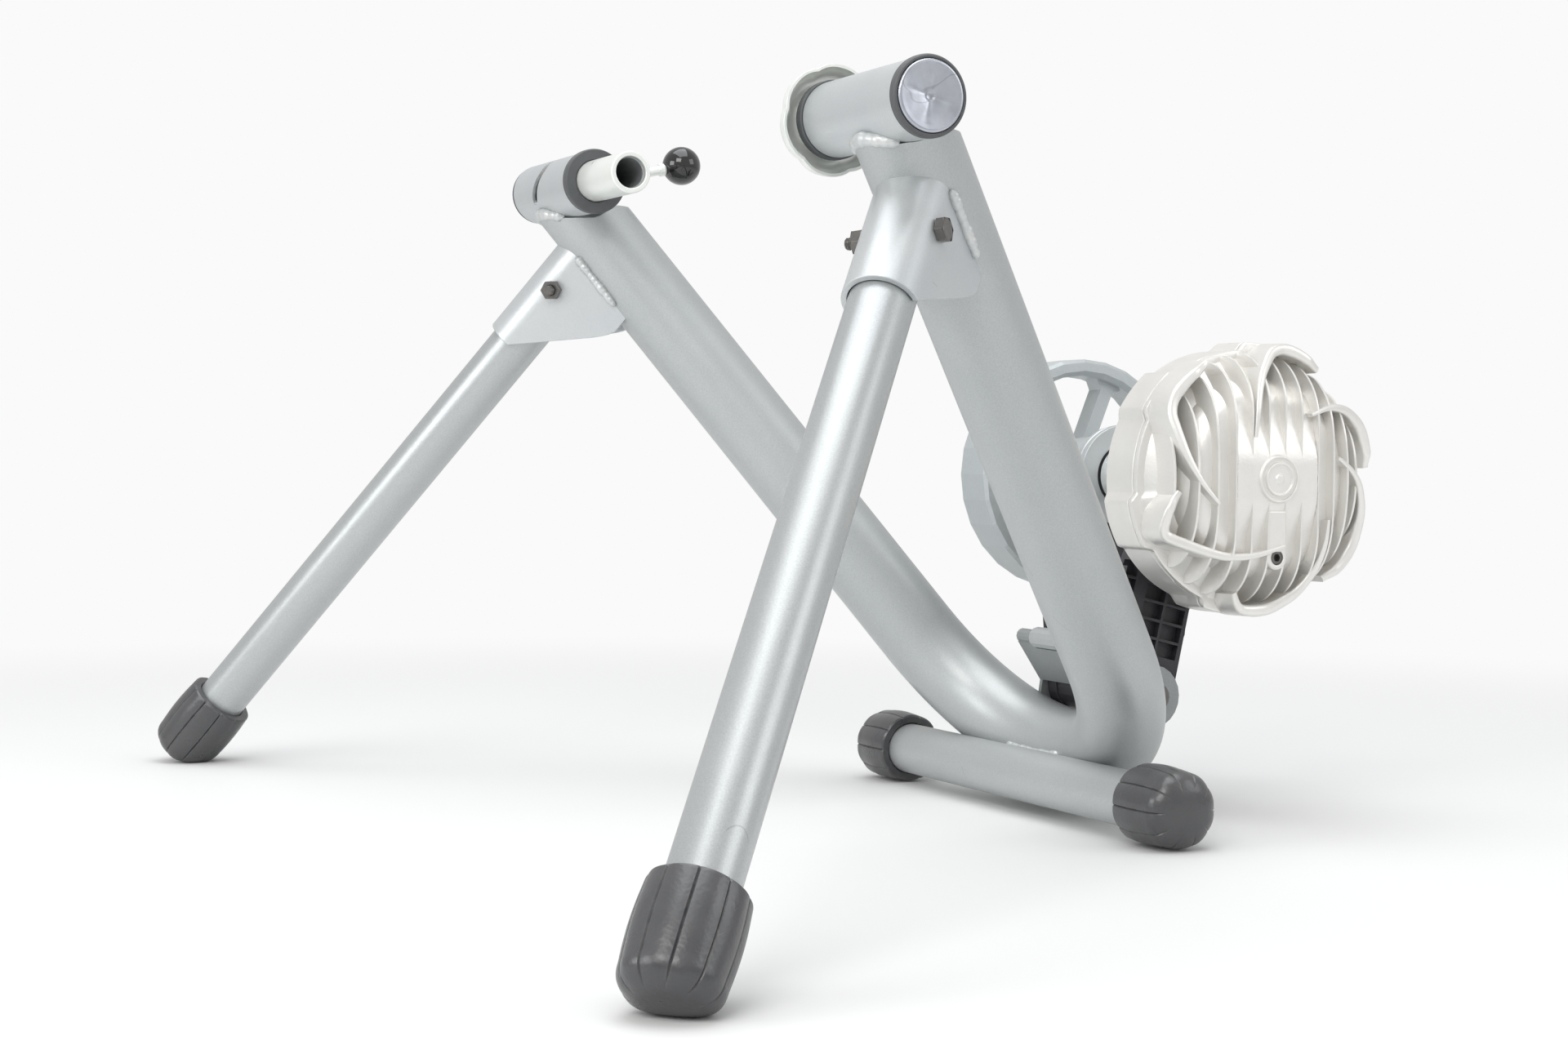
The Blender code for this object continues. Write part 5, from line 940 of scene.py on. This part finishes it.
def makePivotBolt(side, spec):
    # Lathes along the fold axis: a hexagon head, a shank with its thread beyond the nut, and the nut.
    name = sideNames[side]
    origin, axis = sided(legPivot, side), sided(foldAxis, side)
    outer, shank, pitch, hexagon = spec["outer"], spec["shank"], spec["pitch"], hexRadius(spec["hex"])
    top = outer + spec["head"]
    rows, drop = hexHead(spec["hex"], outer, top)
    line = np.array([(0, outer)] + rows[1:-1] + [(0.0035, top), (0.0, top - 0.0002)])
    turnedPiece(name + "_bolt_head", line, origin, axis, {**spec, "stands": [name + "_pivot_bolt"]},
                softness=0.0003, steps=72, heightOf=drop, radiusOf=hexagon)
    nutFace = -outer - spec["nut"]
    start, end = nutFace - spec["threadEnd"], outer + 0.001
    thread = screwLine(shank, start + 0.0006, nutFace + 0.0010, pitch)
    line = [(0.0, start), (shank - 0.0006, start)] + thread + [(shank, end), (0.0, end)]
    ridge = threadRidge(shank, start + 0.0004, nutFace + 0.0012, pitch)
    turnedPiece(name + "_bolt_shank", line, origin, axis, spec, softness=0.0, radiusOf=ridge, steps=48)
    rows, drop = hexHead(spec["hex"], outer, outer + spec["nut"], shank + 0.0002)
    turnedPiece(name + "_nut", rows, origin, -axis, {**spec, "stands": [name + "_pivot_nut"]},
                softness=0.0003, steps=72, closed=True, heightOf=drop, radiusOf=hexagon)


for side in (-1, 1):
    makeLegBracket(side, legBrackets)
    makePivotBolt(side, pivotBolts)
print("frame, legs, feet and brackets made")


# Left clamp: a thick-walled plunger whose lever comes out through the head's slot.
plunger = {"look": "zincPlate", "slot": "zinc_steel", "body": "clamp_lever", "stands": ["clamp_plunger"],
           "radius": 0.0127, "bore": 0.0095, "near": -0.1039, "far": -0.2434}
lever = {"look": "zincPlate", "slot": "zinc_steel", "body": "clamp_lever", "stands": ["clamp_lever_rod"],
         "x": -0.2239, "angle": 13.4, "rod": 0.0030, "root": 0.0095, "ballAt": 0.0867, "collar": 0.0042}
ball = {"look": "ballPlastic", "slot": "gloss_black", "body": "clamp_lever", "stands": ["lever_knob"],
        "radius": 0.0125, "sharp": 60}


def makeLeftClamp():
    # Lathes: the plunger's wall, a dark sheet inside its bore that paints the shade in it, the lever's rod
    # with its collar, and the ball.
    r, b, near, far = plunger["radius"], plunger["bore"], plunger["near"], plunger["far"]
    line = [(r, far), (r, near - 0.0006), (r - 0.0006, near), (b + 0.0005, near), (b, near - 0.0006),
            (b, far)]
    turnedPiece("left_plunger", line, axle, xAxis, plunger, softness=0.0004, closed=True, steps=120)
    # A thin dark sheet just inside the bore: painted shade.
    inside = [(b - 0.00002, far + 0.001), (b - 0.00002, near - 0.004), (b - 0.0004, near - 0.0044),
              (b - 0.0004, far + 0.001)]
    dark = {"look": "boreShadeSteel", "slot": "zinc_steel", "body": "clamp_lever"}
    turnedPiece("plunger_bore_shade", inside, axle, xAxis, dark, softness=0.0001, closed=True)
    aim = np.array([0, cos(radians(lever["angle"])), sin(radians(lever["angle"]))])
    root = axle + xAxis * lever["x"]
    rod, at, collar = lever["rod"], lever["ballAt"], lever["collar"]
    line = [(0, lever["root"]), (rod, lever["root"]), (rod, at - 0.0165), (collar, at - 0.0162),
            (collar, at - 0.0130), (rod, at - 0.0126), (rod, at - 0.009), (0, at - 0.009)]
    turnedPiece("lever_rod", line, root, aim, lever, softness=0.0004, steps=48)
    turn = np.linspace(pi * 0.93, 0, 48)
    line = np.stack([ball["radius"] * np.sin(turn), at + ball["radius"] * np.cos(turn)], -1)
    line = np.concatenate([[(0.0, line[0, 1] + 0.0008)], line])
    grid = lathe(line, root, aim, steps=96)
    addPiece("lever_ball", [(grid, False, True)], ball)


makeLeftClamp()

# Right clamp: a threaded cup, and the pressed star nut that winds it.
cup = {"look": "zincPlate", "slot": "zinc_steel", "body": "adjuster_cup", "stands": ["adjuster_cup"],
       "radius": 0.0127, "bore": 0.0095, "near": 0.1319, "far": 0.2319, "pitch": 0.0040, "depth": 0.00035}
starNut = {"look": "zincPlate", "slot": "zinc_steel", "body": "star_nut", "stands": ["star_nut"],
           "bore": 0.0131, "hub": 0.0172, "hubTop": 0.1606, "rim": 0.0272, "thick": 0.0013,
           "floor": 0.1550, "edge": 0.1643, "lobes": 6, "scallop": 0.0015, "sharp": 50}


def makeRightClamp():
    # The thread: a triangle wave of height plus turn takes a little off the cup's radius.
    r, b = cup["radius"], cup["bore"]
    rows = np.linspace(cup["near"] + 0.0015, cup["far"] - 0.0015, 260)
    line = [(b, cup["near"] + 0.0006), (b + 0.0006, cup["near"]), (r - 0.0010, cup["near"])]
    line += [(r, h) for h in rows] + [(r - 0.0010, cup["far"]), (b, cup["far"])]

    def thread(radius, height, angle):
        wave = np.abs(((height / cup["pitch"] + angle / (2 * pi)) % 1) * 2 - 1)
        on = (radius > r - 1e-6) & (height > cup["near"] + 0.002)
        return np.where(on, r - cup["depth"] * np.clip(wave * 2 - 0.6, 0, 1), radius)
    grid = lathe(line, axle, xAxis, steps=72, radiusOf=thread)
    addPiece("right_cup", [(grid, True, True)], cup)


def makeStarNut(spec):
    # A dish whose rim stands up towards the head; the rim's radius falls into six scallops.
    floor, edge, thick = spec["floor"], spec["edge"], spec["thick"]
    outer = soften([(0.0135, floor), (0.0235, floor), (spec["rim"], floor + 0.0030),
                    (spec["rim"] + 0.0006, edge)], 0.0035, steps=9)
    inner = soften([(0.0135, floor + thick), (0.0228, floor + thick), (spec["rim"] - thick, floor + 0.0042),
                    (spec["rim"] + 0.0006 - thick, edge)], 0.0030, steps=9)
    tip = [(spec["rim"] + 0.0003, edge + 0.0004), (spec["rim"] + 0.0003 - thick, edge + 0.0004)]
    line = np.concatenate([outer, tip, inner[::-1]])

    def scallop(radius, height, angle):
        share = np.clip((radius - 0.0150) / 0.010, 0, 1) ** 1.5
        beat = np.abs(np.cos(spec["lobes"] * angle / 2))
        return radius + share * (0.0006 - spec["scallop"] * (1 - beat) ** 1.5)
    grid = lathe(line, axle, xAxis, steps=240, spin=0.35, radiusOf=scallop)
    addPiece("star_dish", [(grid, True, True)], spec)
    bore, out, top = spec["bore"], spec["hub"], spec["hubTop"]
    hub = [(bore, floor - 0.0004), (out - 0.0008, floor - 0.0004), (out, floor + 0.0004),
           (out, top - 0.0004), (out - 0.0005, top), (bore, top)]
    spare = {key: spec[key] for key in ("look", "slot", "body")}
    turnedPiece("star_hub", hub, axle, xAxis, spare, softness=0.0004, closed=True)


makeRightClamp()
makeStarNut(starNut)
print("clamps made")

# Resistance unit: places shared by its pieces.
rotorAxis = np.array([0, 0.22178, 0.20135])
castLook = {"look": "castSilver", "slot": "cast_aluminium", "body": "resistance_unit"}
trimLook = {**castLook, "sharp": 42}
lobes = {"corner": 24.0, "start": -18.0, "end": 10.0, "ramp": 4.0, "seam": 0.0750, "high": 0.0795}


def lobeShare(angle):
    # One on each of the six lobes, falling smoothly to nothing between them.
    turn = (np.degrees(angle) - lobes["corner"] + 30) % 60 - 30
    return smooth((turn - lobes["start"]) / lobes["ramp"]) * smooth((lobes["end"] - turn) / lobes["ramp"])


drum = {**castLook, "stands": ["unit_housing"], "back": 0.0550, "face": 0.0880, "neck": 0.0280, "sharp": 34,
        "bore": 0.0150, "root": 0.0444, "shoulder": 0.067, "lip": 0.0600, "lobesFrom": 0.0575,
        "ledges": ((212, 0.0610, 0.0722), (220, 0.0690, 0.0742), (231, 0.0775, 0.0756)),  # degrees, X, radius
        "ledgeEnd": 250}


def makeDrum(spec):
    # Radius by place along the axis and angle: a drum, its lobes, and three ledges at the lower front.
    back, face = spec["back"], spec["face"]
    bore, root, lip = spec["bore"], spec["root"], spec["lip"]
    line = soften([(bore, root), (spec["neck"], root), (spec["neck"], back), (spec["shoulder"], back),
                   (lobes["seam"], face)], [0, 0.0008, 0.004, 0.006, 0], steps=8)
    along = np.linspace(back + 0.006, face - 0.0006, 70)
    side = np.stack([np.interp(along, line[:, 1][-6:], line[:, 0][-6:]), along], -1)
    line = np.concatenate([line[line[:, 1] < back + 0.0055], side,
                           [(lobes["seam"] - 0.0002, face - 0.0002), (lobes["seam"] - 0.0007, face),
                            (lip + 0.004, face), (lip, face - 0.002), (bore, face - 0.002)]])

    def radiusOf(radius, height, angle):
        degrees = np.degrees(angle)
        outer = np.clip((radius - 0.055) / 0.008, 0, 1)
        along = smooth((height - spec["lobesFrom"]) / 0.007)
        grown = radius + (lobes["high"] - lobes["seam"]) * lobeShare(angle) * along * outer
        for start, x, level in spec["ledges"]:
            window = smooth((degrees - start) / 2.5) * smooth((spec["ledgeEnd"] - degrees) / 4)
            step = smooth((height - x) / 0.0012) * outer
            grown = np.maximum(grown, radius + (level - radius) * window * step)
        return grown
    grid = lathe(line, rotorAxis, xAxis, steps=288, radiusOf=radiusOf)
    addPiece("unit_drum", [(grid, True, True)], spec)


cover = {**castLook, "stands": ["finned_cover"], "base": 0.0883, "ledge": 0.0925, "domeFoot": 0.0615,
         "domeFlat": 0.0430, "domeTop": 0.1186, "domePower": 2.0, "panelTop": 0.1249, "panelLeft": -0.0298,
         "panelRight": 0.0288, "panelHigh": 0.0080, "panelFade": 0.0340, "sharp": 42}
fins = {**castLook, "pitch": 0.0115, "count": 12, "thick": 0.0017, "thickFoot": 0.0027, "front": 0.1246,
        "edge": 0.0736, "flat": 0.0400, "power": 2.0, "tall": (3, 8), "taller": 0.0006,
        "shift": 0.0005, "sink": 0.0022, "sharp": 42}
# Each blade's middle line, as radius in mm and angle in degrees, from the rim end to the tip.
bladePaths = (
    ((76.0, 120), (78.7, 131), (79.8, 143), (74.4, 150), (66.8, 158), (59.0, 169), (50.8, 183), (43.1, 199)),
    ((74.8, 58), (79.3, 71), (81.0, 80), (73.0, 87), (59.8, 98), (45.3, 108), (29.0, 124)),
    ((61.4, 187), (68.8, 194), (76.1, 205), (68.9, 212), (62.0, 221), (54.8, 235), (46.3, 252), (38.7, 277)),
    ((68.5, 253), (76.9, 258), (80.0, 265), (76.0, 274), (70.3, 289), (61.3, 302), (53.2, 313), (43.1, 327)),
    ((73.5, 307), (77.5, 318), (79.0, 329), (73.1, 345), (64.3, 358), (55.1, 6), (44.7, 16)),
    ((79.2, 5), (79.5, 14), (80.0, 24), (69.2, 36), (57.6, 47), (43.5, 58)),
)
blades = {**trimLook, "depth": 0.0020, "farthest": 0.0768, "front": 0.1256, "fall": 0.0175,
          "fallFrom": 0.040, "fallOver": 0.041, "tipDrop": 0.0035, "corner": 0.0060,
          "widths": (0.0040, 0.0060, 0.0072, 0.0062, 0.0020), "widthAt": (0.0, 0.12, 0.25, 0.45, 1.0),
          "paths": bladePaths}


def domeHeight(y, z):
    # Height of the cover between its fins: a dome with rounded shoulders that swells into the panel.
    spec = cover
    r = np.hypot(y, z)
    u = np.clip((r - spec["domeFlat"]) / (spec["domeFoot"] - spec["domeFlat"]), 0, 1)
    power = spec["domePower"]
    dome = spec["ledge"] + (spec["domeTop"] - spec["ledge"]) * (1 - u ** power) ** (1 / power)
    wide = smooth((y - spec["panelLeft"]) / 0.0012) * smooth((spec["panelRight"] - y) / 0.0012)
    high = smooth(1 - (np.abs(z) - spec["panelHigh"]) / spec["panelFade"])
    return dome + (spec["panelTop"] - dome) * wide * high * (r < spec["domeFoot"])


def makeCover(spec):
    # A lathe whose front follows domeHeight and whose rim grows outwards at the lobes.
    base, ledge = spec["base"], spec["ledge"]
    radii = np.linspace(spec["domeFoot"], 0.0004, 110)
    line = [(0.0600, base), (lobes["seam"] - 0.0007, base), (lobes["seam"], base + 0.0006),
            (lobes["seam"], ledge - 0.0008), (lobes["seam"] - 0.0010, ledge), (0.0700, ledge)]
    line = np.array(line + [(r, ledge) for r in radii] + [(0.0, ledge)])

    def radiusOf(radius, height, angle):
        grow = (lobes["high"] - lobes["seam"]) * lobeShare(angle) * smooth((radius - 0.070) / 0.003)
        return radius + grow

    def heightOf(radius, height, angle):
        high = domeHeight(radius * np.cos(angle), radius * np.sin(angle))
        return np.where(radius <= spec["domeFoot"], high, height)
    grid = lathe(line, rotorAxis, xAxis, steps=288, radiusOf=radiusOf, heightOf=heightOf)
    addPiece("cover_shell", [(grid, False, True)], spec)


def finFront(y, z, spec):
    # Height of the fins' front edges: level in the middle, then falling as an ellipse does.
    r = np.hypot(y, z)
    u = np.clip((r - spec["flat"]) / (spec["edge"] - spec["flat"]), 0, 1)
    foot = cover["ledge"] - 0.001
    return foot + (spec["front"] - cover["ledge"] + 0.001) * (1 - u ** spec["power"]) ** (1 / spec["power"])


def makeFins(spec):
    # Upright plates: at each height the section runs from the dome out to the rounded front line.
    shells = []
    for number in range(spec["count"]):
        y = spec["pitch"] * (number - (spec["count"] - 1) / 2) - spec["shift"]
        reach = sqrt(spec["edge"] ** 2 - y ** 2) - 0.0003
        z = reach * np.sin(np.linspace(-pi / 2, pi / 2, 90))
        front = finFront(y, z, spec) + spec["taller"] * (number in spec["tall"])
        low = np.minimum(domeHeight(y, z), cover["domeTop"]) - spec["sink"]
        low = np.minimum(low, front - 0.0008)
        half, foot = spec["thick"] / 2, spec["thickFoot"] / 2
        side = np.array([-foot, -half, -half * 0.75, 0, half * 0.75, half, foot])
        slim = np.clip((front - domeHeight(y, z)) / 0.006, 0.2, 1)[:, None]
        rise = np.array([0, 1, 1, 1, 1, 1, 0])
        drop = np.array([0, 0.0009, 0.00025, 0, 0.00025, 0.0009, 0])
        x = low[:, None] + (front - low)[:, None] * rise - drop
        grid = np.stack([x, y + side * slim + rotorAxis[1],
                         np.broadcast_to(z[:, None], x.shape) + rotorAxis[2]], -1)
        shells.append((capped(grid), False, True))
    addPiece("cover_fins", shells, spec)


def makeBlades(spec):
    # Ribbons on edge: a width that tapers along the path, rounded at the front.
    shells = []
    for path in spec["paths"]:
        rim = np.asarray(path, float) * (0.001, pi / 180)
        rim[:, 0] = np.minimum(rim[:, 0], spec["farthest"])
        flat = np.stack([rim[:, 0] * np.cos(rim[:, 1]), rim[:, 0] * np.sin(rim[:, 1])], -1)
        reach = np.full(len(flat), 0.02)
        reach[2] = spec["corner"]
        line = soften(flat, reach, steps=9)
        run = np.concatenate([[0], np.cumsum(np.linalg.norm(np.diff(line, axis=0), axis=1))])
        kept = np.concatenate([[True], np.diff(run) > 1e-6])
        t = np.linspace(0, run[-1], 110)
        line = np.stack([np.interp(t, run[kept], line[kept, k]) for k in (0, 1)], -1)
        r = np.hypot(line[:, 0], line[:, 1])
        share = t / run[-1]
        front = spec["front"] - spec["fall"] * np.clip((r - spec["fallFrom"]) / spec["fallOver"], 0, 1) ** 1.5
        front = front - spec["tipDrop"] * (1 - smooth(share / 0.12))
        low = np.where(r > cover["domeFoot"] - 0.001, cover["base"] + 0.001,
                       domeHeight(line[:, 0], line[:, 1]) - spec["depth"])
        low = np.minimum(low, front - 0.001)
        width = np.interp(share, spec["widthAt"], spec["widths"])[:, None]
        along = unit(np.gradient(line, axis=0))
        side = np.stack([-along[:, 1], along[:, 0]], -1)
        u = np.array([-0.55, -0.5, -0.47, -0.33, -0.12, 0.12, 0.33, 0.47, 0.5, 0.55]) * width
        turn = np.array([1.0, 0.30, 0.16, 0.04, 0, 0, 0.04, 0.16, 0.30, 1.0])
        drop = np.where(turn == 1.0, 0, turn) * width * 1.2
        x = np.where(turn == 1.0, low[:, None], np.maximum(front[:, None] - drop, low[:, None] + 0.0005))
        grid = np.stack([x, line[:, :1] + u * side[:, :1] + rotorAxis[1],
                         line[:, 1:] + u * side[:, 1:] + rotorAxis[2]], -1)
        shells.append((capped(grid), False, True))
    addPiece("cover_blades", shells, spec)


drain = {**trimLook, "drop": 0.0450, "half": 0.0070, "bore": 0.0042, "front": 0.1246, "socket": 0.0042}
drainScrew = {"look": "blackSteel", "slot": "black_steel", "body": "resistance_unit",
              "stands": ["drain_screw"]}


def makeCoverTrim(spec):
    # The plain ring on the panel, and the drain's tongue, boss and screw below it.
    top = cover["panelTop"]
    line = [(0.0, top + 0.0018), (0.0024, top + 0.0018), (0.0032, top + 0.0009), (0.0084, top + 0.0009),
            (0.0087, top + 0.0019), (0.0096, top + 0.0019), (0.0100, top + 0.0002), (0.0120, top + 0.0002),
            (0.0123, top + 0.0014), (0.0132, top + 0.0014), (0.0141, top - 0.0006)]
    turnedPiece("cover_ring", line, rotorAxis, xAxis, trimLook, softness=0.0003, steps=120)
    half, bore, front = spec["half"], spec["bore"], spec["front"]
    boss = (0, rotorAxis[1], rotorAxis[2] - spec["drop"])
    line = [(bore, front - 0.0060), (bore, front - 0.0004), (bore + 0.0004, front), (half - 0.0010, front),
            (half, front - 0.0010), (half + 0.0004, 0.1080), (bore, 0.1080)]
    turnedPiece("drain_boss", line, boss, xAxis, spec, softness=0.0004, closed=True, steps=72)
    outline = soften([(rotorAxis[1] + a, rotorAxis[2] + b) for a, b in
                      ((-0.0062, -0.0420), (0.0062, -0.0420), (0.0066, -0.0180), (-0.0066, -0.0180))],
                     0.002, closed=True)
    grid, ends = slab(outline, 0.1120, 0.1244, 0.0012, acrossX)
    addPiece("drain_tongue", [(grid, False, True)], trimLook, ends)
    hexHole = 0.0022
    line = [(0.0, 0.1205), (hexHole, 0.1205), (hexHole, 0.1240), (0.0035, 0.1240), (0.0040, 0.1235),
            (0.0040, 0.1188), (0.0, 0.1188)]

    def socket(radius, height, angle):
        return np.where(np.abs(radius - hexHole) < 2e-4, hexEdge(spec["socket"], angle), radius)
    turnedPiece("drain_plug", line, boss, xAxis, drainScrew, softness=0.00015, steps=72, radiusOf=socket)


# Silver collars that close over the yoke's two rings; the right one flares out to the drum.
# The collars reuse the brighter, bluer copy of the frame paint, which holds painted light.
collars = {"look": "bracketPaint", "slot": "cast_aluminium", "body": "resistance_unit", "sharp": 34,
           "ring": 0.0318, "groove": 0.0313, "flare": 0.0400, "bore": 0.0311, "lip": 0.0198,
           "start": 0.0336, "long": 0.0110, "cover": 0.0005, "inside": 0.0250}


def makeCollar(side, spec):
    ring, groove, bore, start, thick = (spec[key] for key in ("ring", "groove", "bore", "start", "cover"))
    end, back = start + spec["long"], drum["back"] + shared["touch"]
    line = [(spec["lip"], start), (ring, start), (ring, start + 0.0042), (groove, start + 0.0048),
            (groove, start + 0.0056), (ring, start + 0.0062)]
    if side > 0:
        line += [(ring, end), (ring + 0.0024, end + 0.0060), (spec["flare"], back), (spec["inside"], back),
                 (spec["inside"], end)]
    else:
        line += [(ring - 0.0010, end), (spec["inside"], end + thick), (spec["inside"], end)]
    line += [(bore, end), (bore, start + thick), (spec["lip"], start + thick)]
    turnedPiece(sideNames[side] + "_collar", line, rotorAxis, xAxis * side, spec, softness=0.0005,
                closed=True, steps=120)


makeDrum(drum)
for side in (-1, 1):
    makeCollar(side, collars)
makeCover(cover)
makeFins(fins)
makeBlades(blades)
makeCoverTrim(drain)
print("resistance unit made")

# Roller, with the marks of turning round it.
roller = {"look": "groundSteel", "slot": "plain_steel", "body": "rotor", "stands": ["roller"],
          "radius": 0.0190, "half": 0.0330}


def makeRoller(spec):
    # A cylinder with small chamfers and a bore for the shaft.
    r, half = spec["radius"], spec["half"]
    line = [(0.0052, -half), (r - 0.0012, -half), (r, -half + 0.0012), (r, half - 0.0012), (r - 0.0012, half),
            (0.0052, half)]
    turnedPiece("drive_roller", line, rotorAxis, xAxis, spec, softness=0.0004, steps=120,
                closed=True)


makeRoller(roller)


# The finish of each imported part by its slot; hidden parts are dressed too.
slotLooks = {
    "frame_paint": "framePaint", "dark_plastic": "darkPlastic", "plain_steel": "groundSteel",
    "rubber": "footRubber", "black_steel": "blackSteel", "zinc_steel": "zincPlate",
    "gloss_black": "ballPlastic", "brass": "brassPlain", "black_plastic": "yokePlastic",
    "flywheel_iron": "wheelPaint", "cast_aluminium": "castSilver",
}
softened = {"yoke": 0.0006, "unit_bracket": 0.0006, "tension_barrel": 0.0005, "tension_washer": 0.0003,
            "tension_knob": 0.0008, "yoke_pivot_cap": 0.0008, "yoke_pivot_bolt": 0.0004,
            "yoke_pivot_nut": 0.0004, "flywheel": 0.0008, "flywheel_nut": 0.0004}
# The unit bracket takes the darker copy of the frame paint, which holds painted shade.
ownLooks = {"unit_bracket": "unitPaint", "tension_barrel": "framePaint"}


def dressNodes():
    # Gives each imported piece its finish; those seen as they are also get welded and rounded edges.
    for name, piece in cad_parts.items():
        for index, look in enumerate(piece.data.materials):
            slot = look.name.split(".")[0]
            if slot in slotLooks:
                piece.data.materials[index] = looks[ownLooks.get(name, slotLooks[slot])]
        if name in softened:
            weld = piece.modifiers.new("weld", "WELD")
            weld.merge_threshold = 0.000002
            roundEdges(piece, softened[name])


dressNodes()

# Floor, light and background.
studio = {
    "floorSize": 12.0, "floorColour": (0.80, 0.80, 0.797), "fadeFrom": 0.60, "fadeTo": 1.5,
    "floorRough": 0.62, "floorShine": 0.25, "floorGrain": (420.0, 0.06, 0.0004),
    "centre": (0.0, -0.05, 0.0), "world": 0.66, "white": 0.955,
    "lamps": (
        # name, place, aim, width, height, power, colour
        ("keyLamp", (1.5, -1.5, 1.7), (0, 0, 0.2), 1.3, 1.0, 19.5, (1.0, 0.985, 0.965)),
        ("frontLamp", (0.1, -2.4, 0.9), (0, 0, 0.3), 1.2, 0.9, 13.5, (0.98, 0.99, 1.0)),
        ("skyLamp", (0.0, -0.1, 1.9), (0, 0, 0.1), 1.8, 1.4, 18.5, (0.955, 0.98, 1.0)),
        ("sideLamp", (1.6, 1.7, 1.3), (0, 0, 0.2), 1.2, 1.2, 8.0, (0.97, 0.985, 1.0)),
    ),
}


def makeFloor(spec):
    # A pale floor that keeps the shadow near the trainer and turns to plain white further away.
    look = bpy.data.materials.new("paleFloor")
    look.use_nodes = True
    tree = look.node_tree
    shader = tree.nodes["Principled BSDF"]
    output = tree.nodes["Material Output"]
    place = put(tree, "ShaderNodeTexCoord").outputs["Object"]
    shader.inputs["Base Color"].default_value = (*spec["floorColour"], 1.0)
    shader.inputs["Roughness"].default_value = spec["floorRough"]
    shader.inputs["Specular IOR Level"].default_value = spec["floorShine"]
    scale, strength, depth = spec["floorGrain"]
    bump = put(tree, "ShaderNodeBump", {"Height": noise(tree, place, scale, 4.0), "Strength": strength,
                                        "Distance": depth})
    tree.links.new(bump.outputs[0], shader.inputs["Normal"])
    away = put(tree, "ShaderNodeVectorMath", {0: place, 1: spec["centre"]}, operation="DISTANCE")
    fade = put(tree, "ShaderNodeMapRange", {"Value": away.outputs["Value"], "From Min": spec["fadeFrom"],
                                            "From Max": spec["fadeTo"]}, interpolation_type="SMOOTHSTEP")
    eye = put(tree, "ShaderNodeLightPath")
    seen = calc(tree, "MULTIPLY", fade.outputs[0], eye.outputs["Is Camera Ray"])
    white = put(tree, "ShaderNodeEmission", {"Color": (1.0, 1.0, 1.0, 1.0), "Strength": spec["white"]})
    mix = put(tree, "ShaderNodeMixShader", {0: seen, 1: shader.outputs[0], 2: white.outputs[0]})
    tree.links.new(mix.outputs[0], output.inputs["Surface"])
    half = spec["floorSize"]
    t = np.linspace(-half, half, 9)
    x, y = np.meshgrid(t, t, indexing="ij")
    mesh = bpy.data.meshes.new("floor")
    mesh.from_pydata(np.stack([x, y, x * 0], -1).reshape(-1, 3).tolist(), [],
                     gridFaces(9, 9, False, False, 0))
    shape = bmesh.new()
    shape.from_mesh(mesh)
    for face in shape.faces:
        if face.normal.z < 0:
            face.normal_flip()
    shape.to_mesh(mesh)
    shape.free()
    mesh.materials.append(look)
    floor = bpy.data.objects.new("floor", mesh)
    bpy.context.scene.collection.objects.link(floor)


def makeLamps(spec):
    # Rectangular lamps that face their aims.
    for name, place, aim, width, height, power, colour in spec["lamps"]:
        data = bpy.data.lights.new(name, "AREA")
        data.shape, data.size, data.size_y = "RECTANGLE", width, height
        data.energy, data.color = power, colour
        lamp = bpy.data.objects.new(name, data)
        lamp.location = place
        lamp.rotation_euler = (Vector(aim) - Vector(place)).to_track_quat("-Z", "Y").to_euler()
        bpy.context.scene.collection.objects.link(lamp)


def makeWorld(spec):
    # White where the camera sees it, straight or through clear matter; dimmer as a source of light.
    world = bpy.data.worlds.new("studio")
    bpy.context.scene.world = world
    world.use_nodes = True
    tree = world.node_tree
    path = put(tree, "ShaderNodeLightPath").outputs
    either = calc(tree, "MAXIMUM", path["Is Camera Ray"], path["Is Transmission Ray"])
    level = spread(tree, either, toMin=spec["world"], toMax=spec["white"])
    back = tree.nodes["Background"]
    back.inputs["Color"].default_value = (1.0, 1.0, 1.0, 1.0)
    tree.links.new(level, back.inputs["Strength"])


makeFloor(studio)
makeLamps(studio)
makeWorld(studio)
bpy.context.scene.view_settings.view_transform = "Standard"
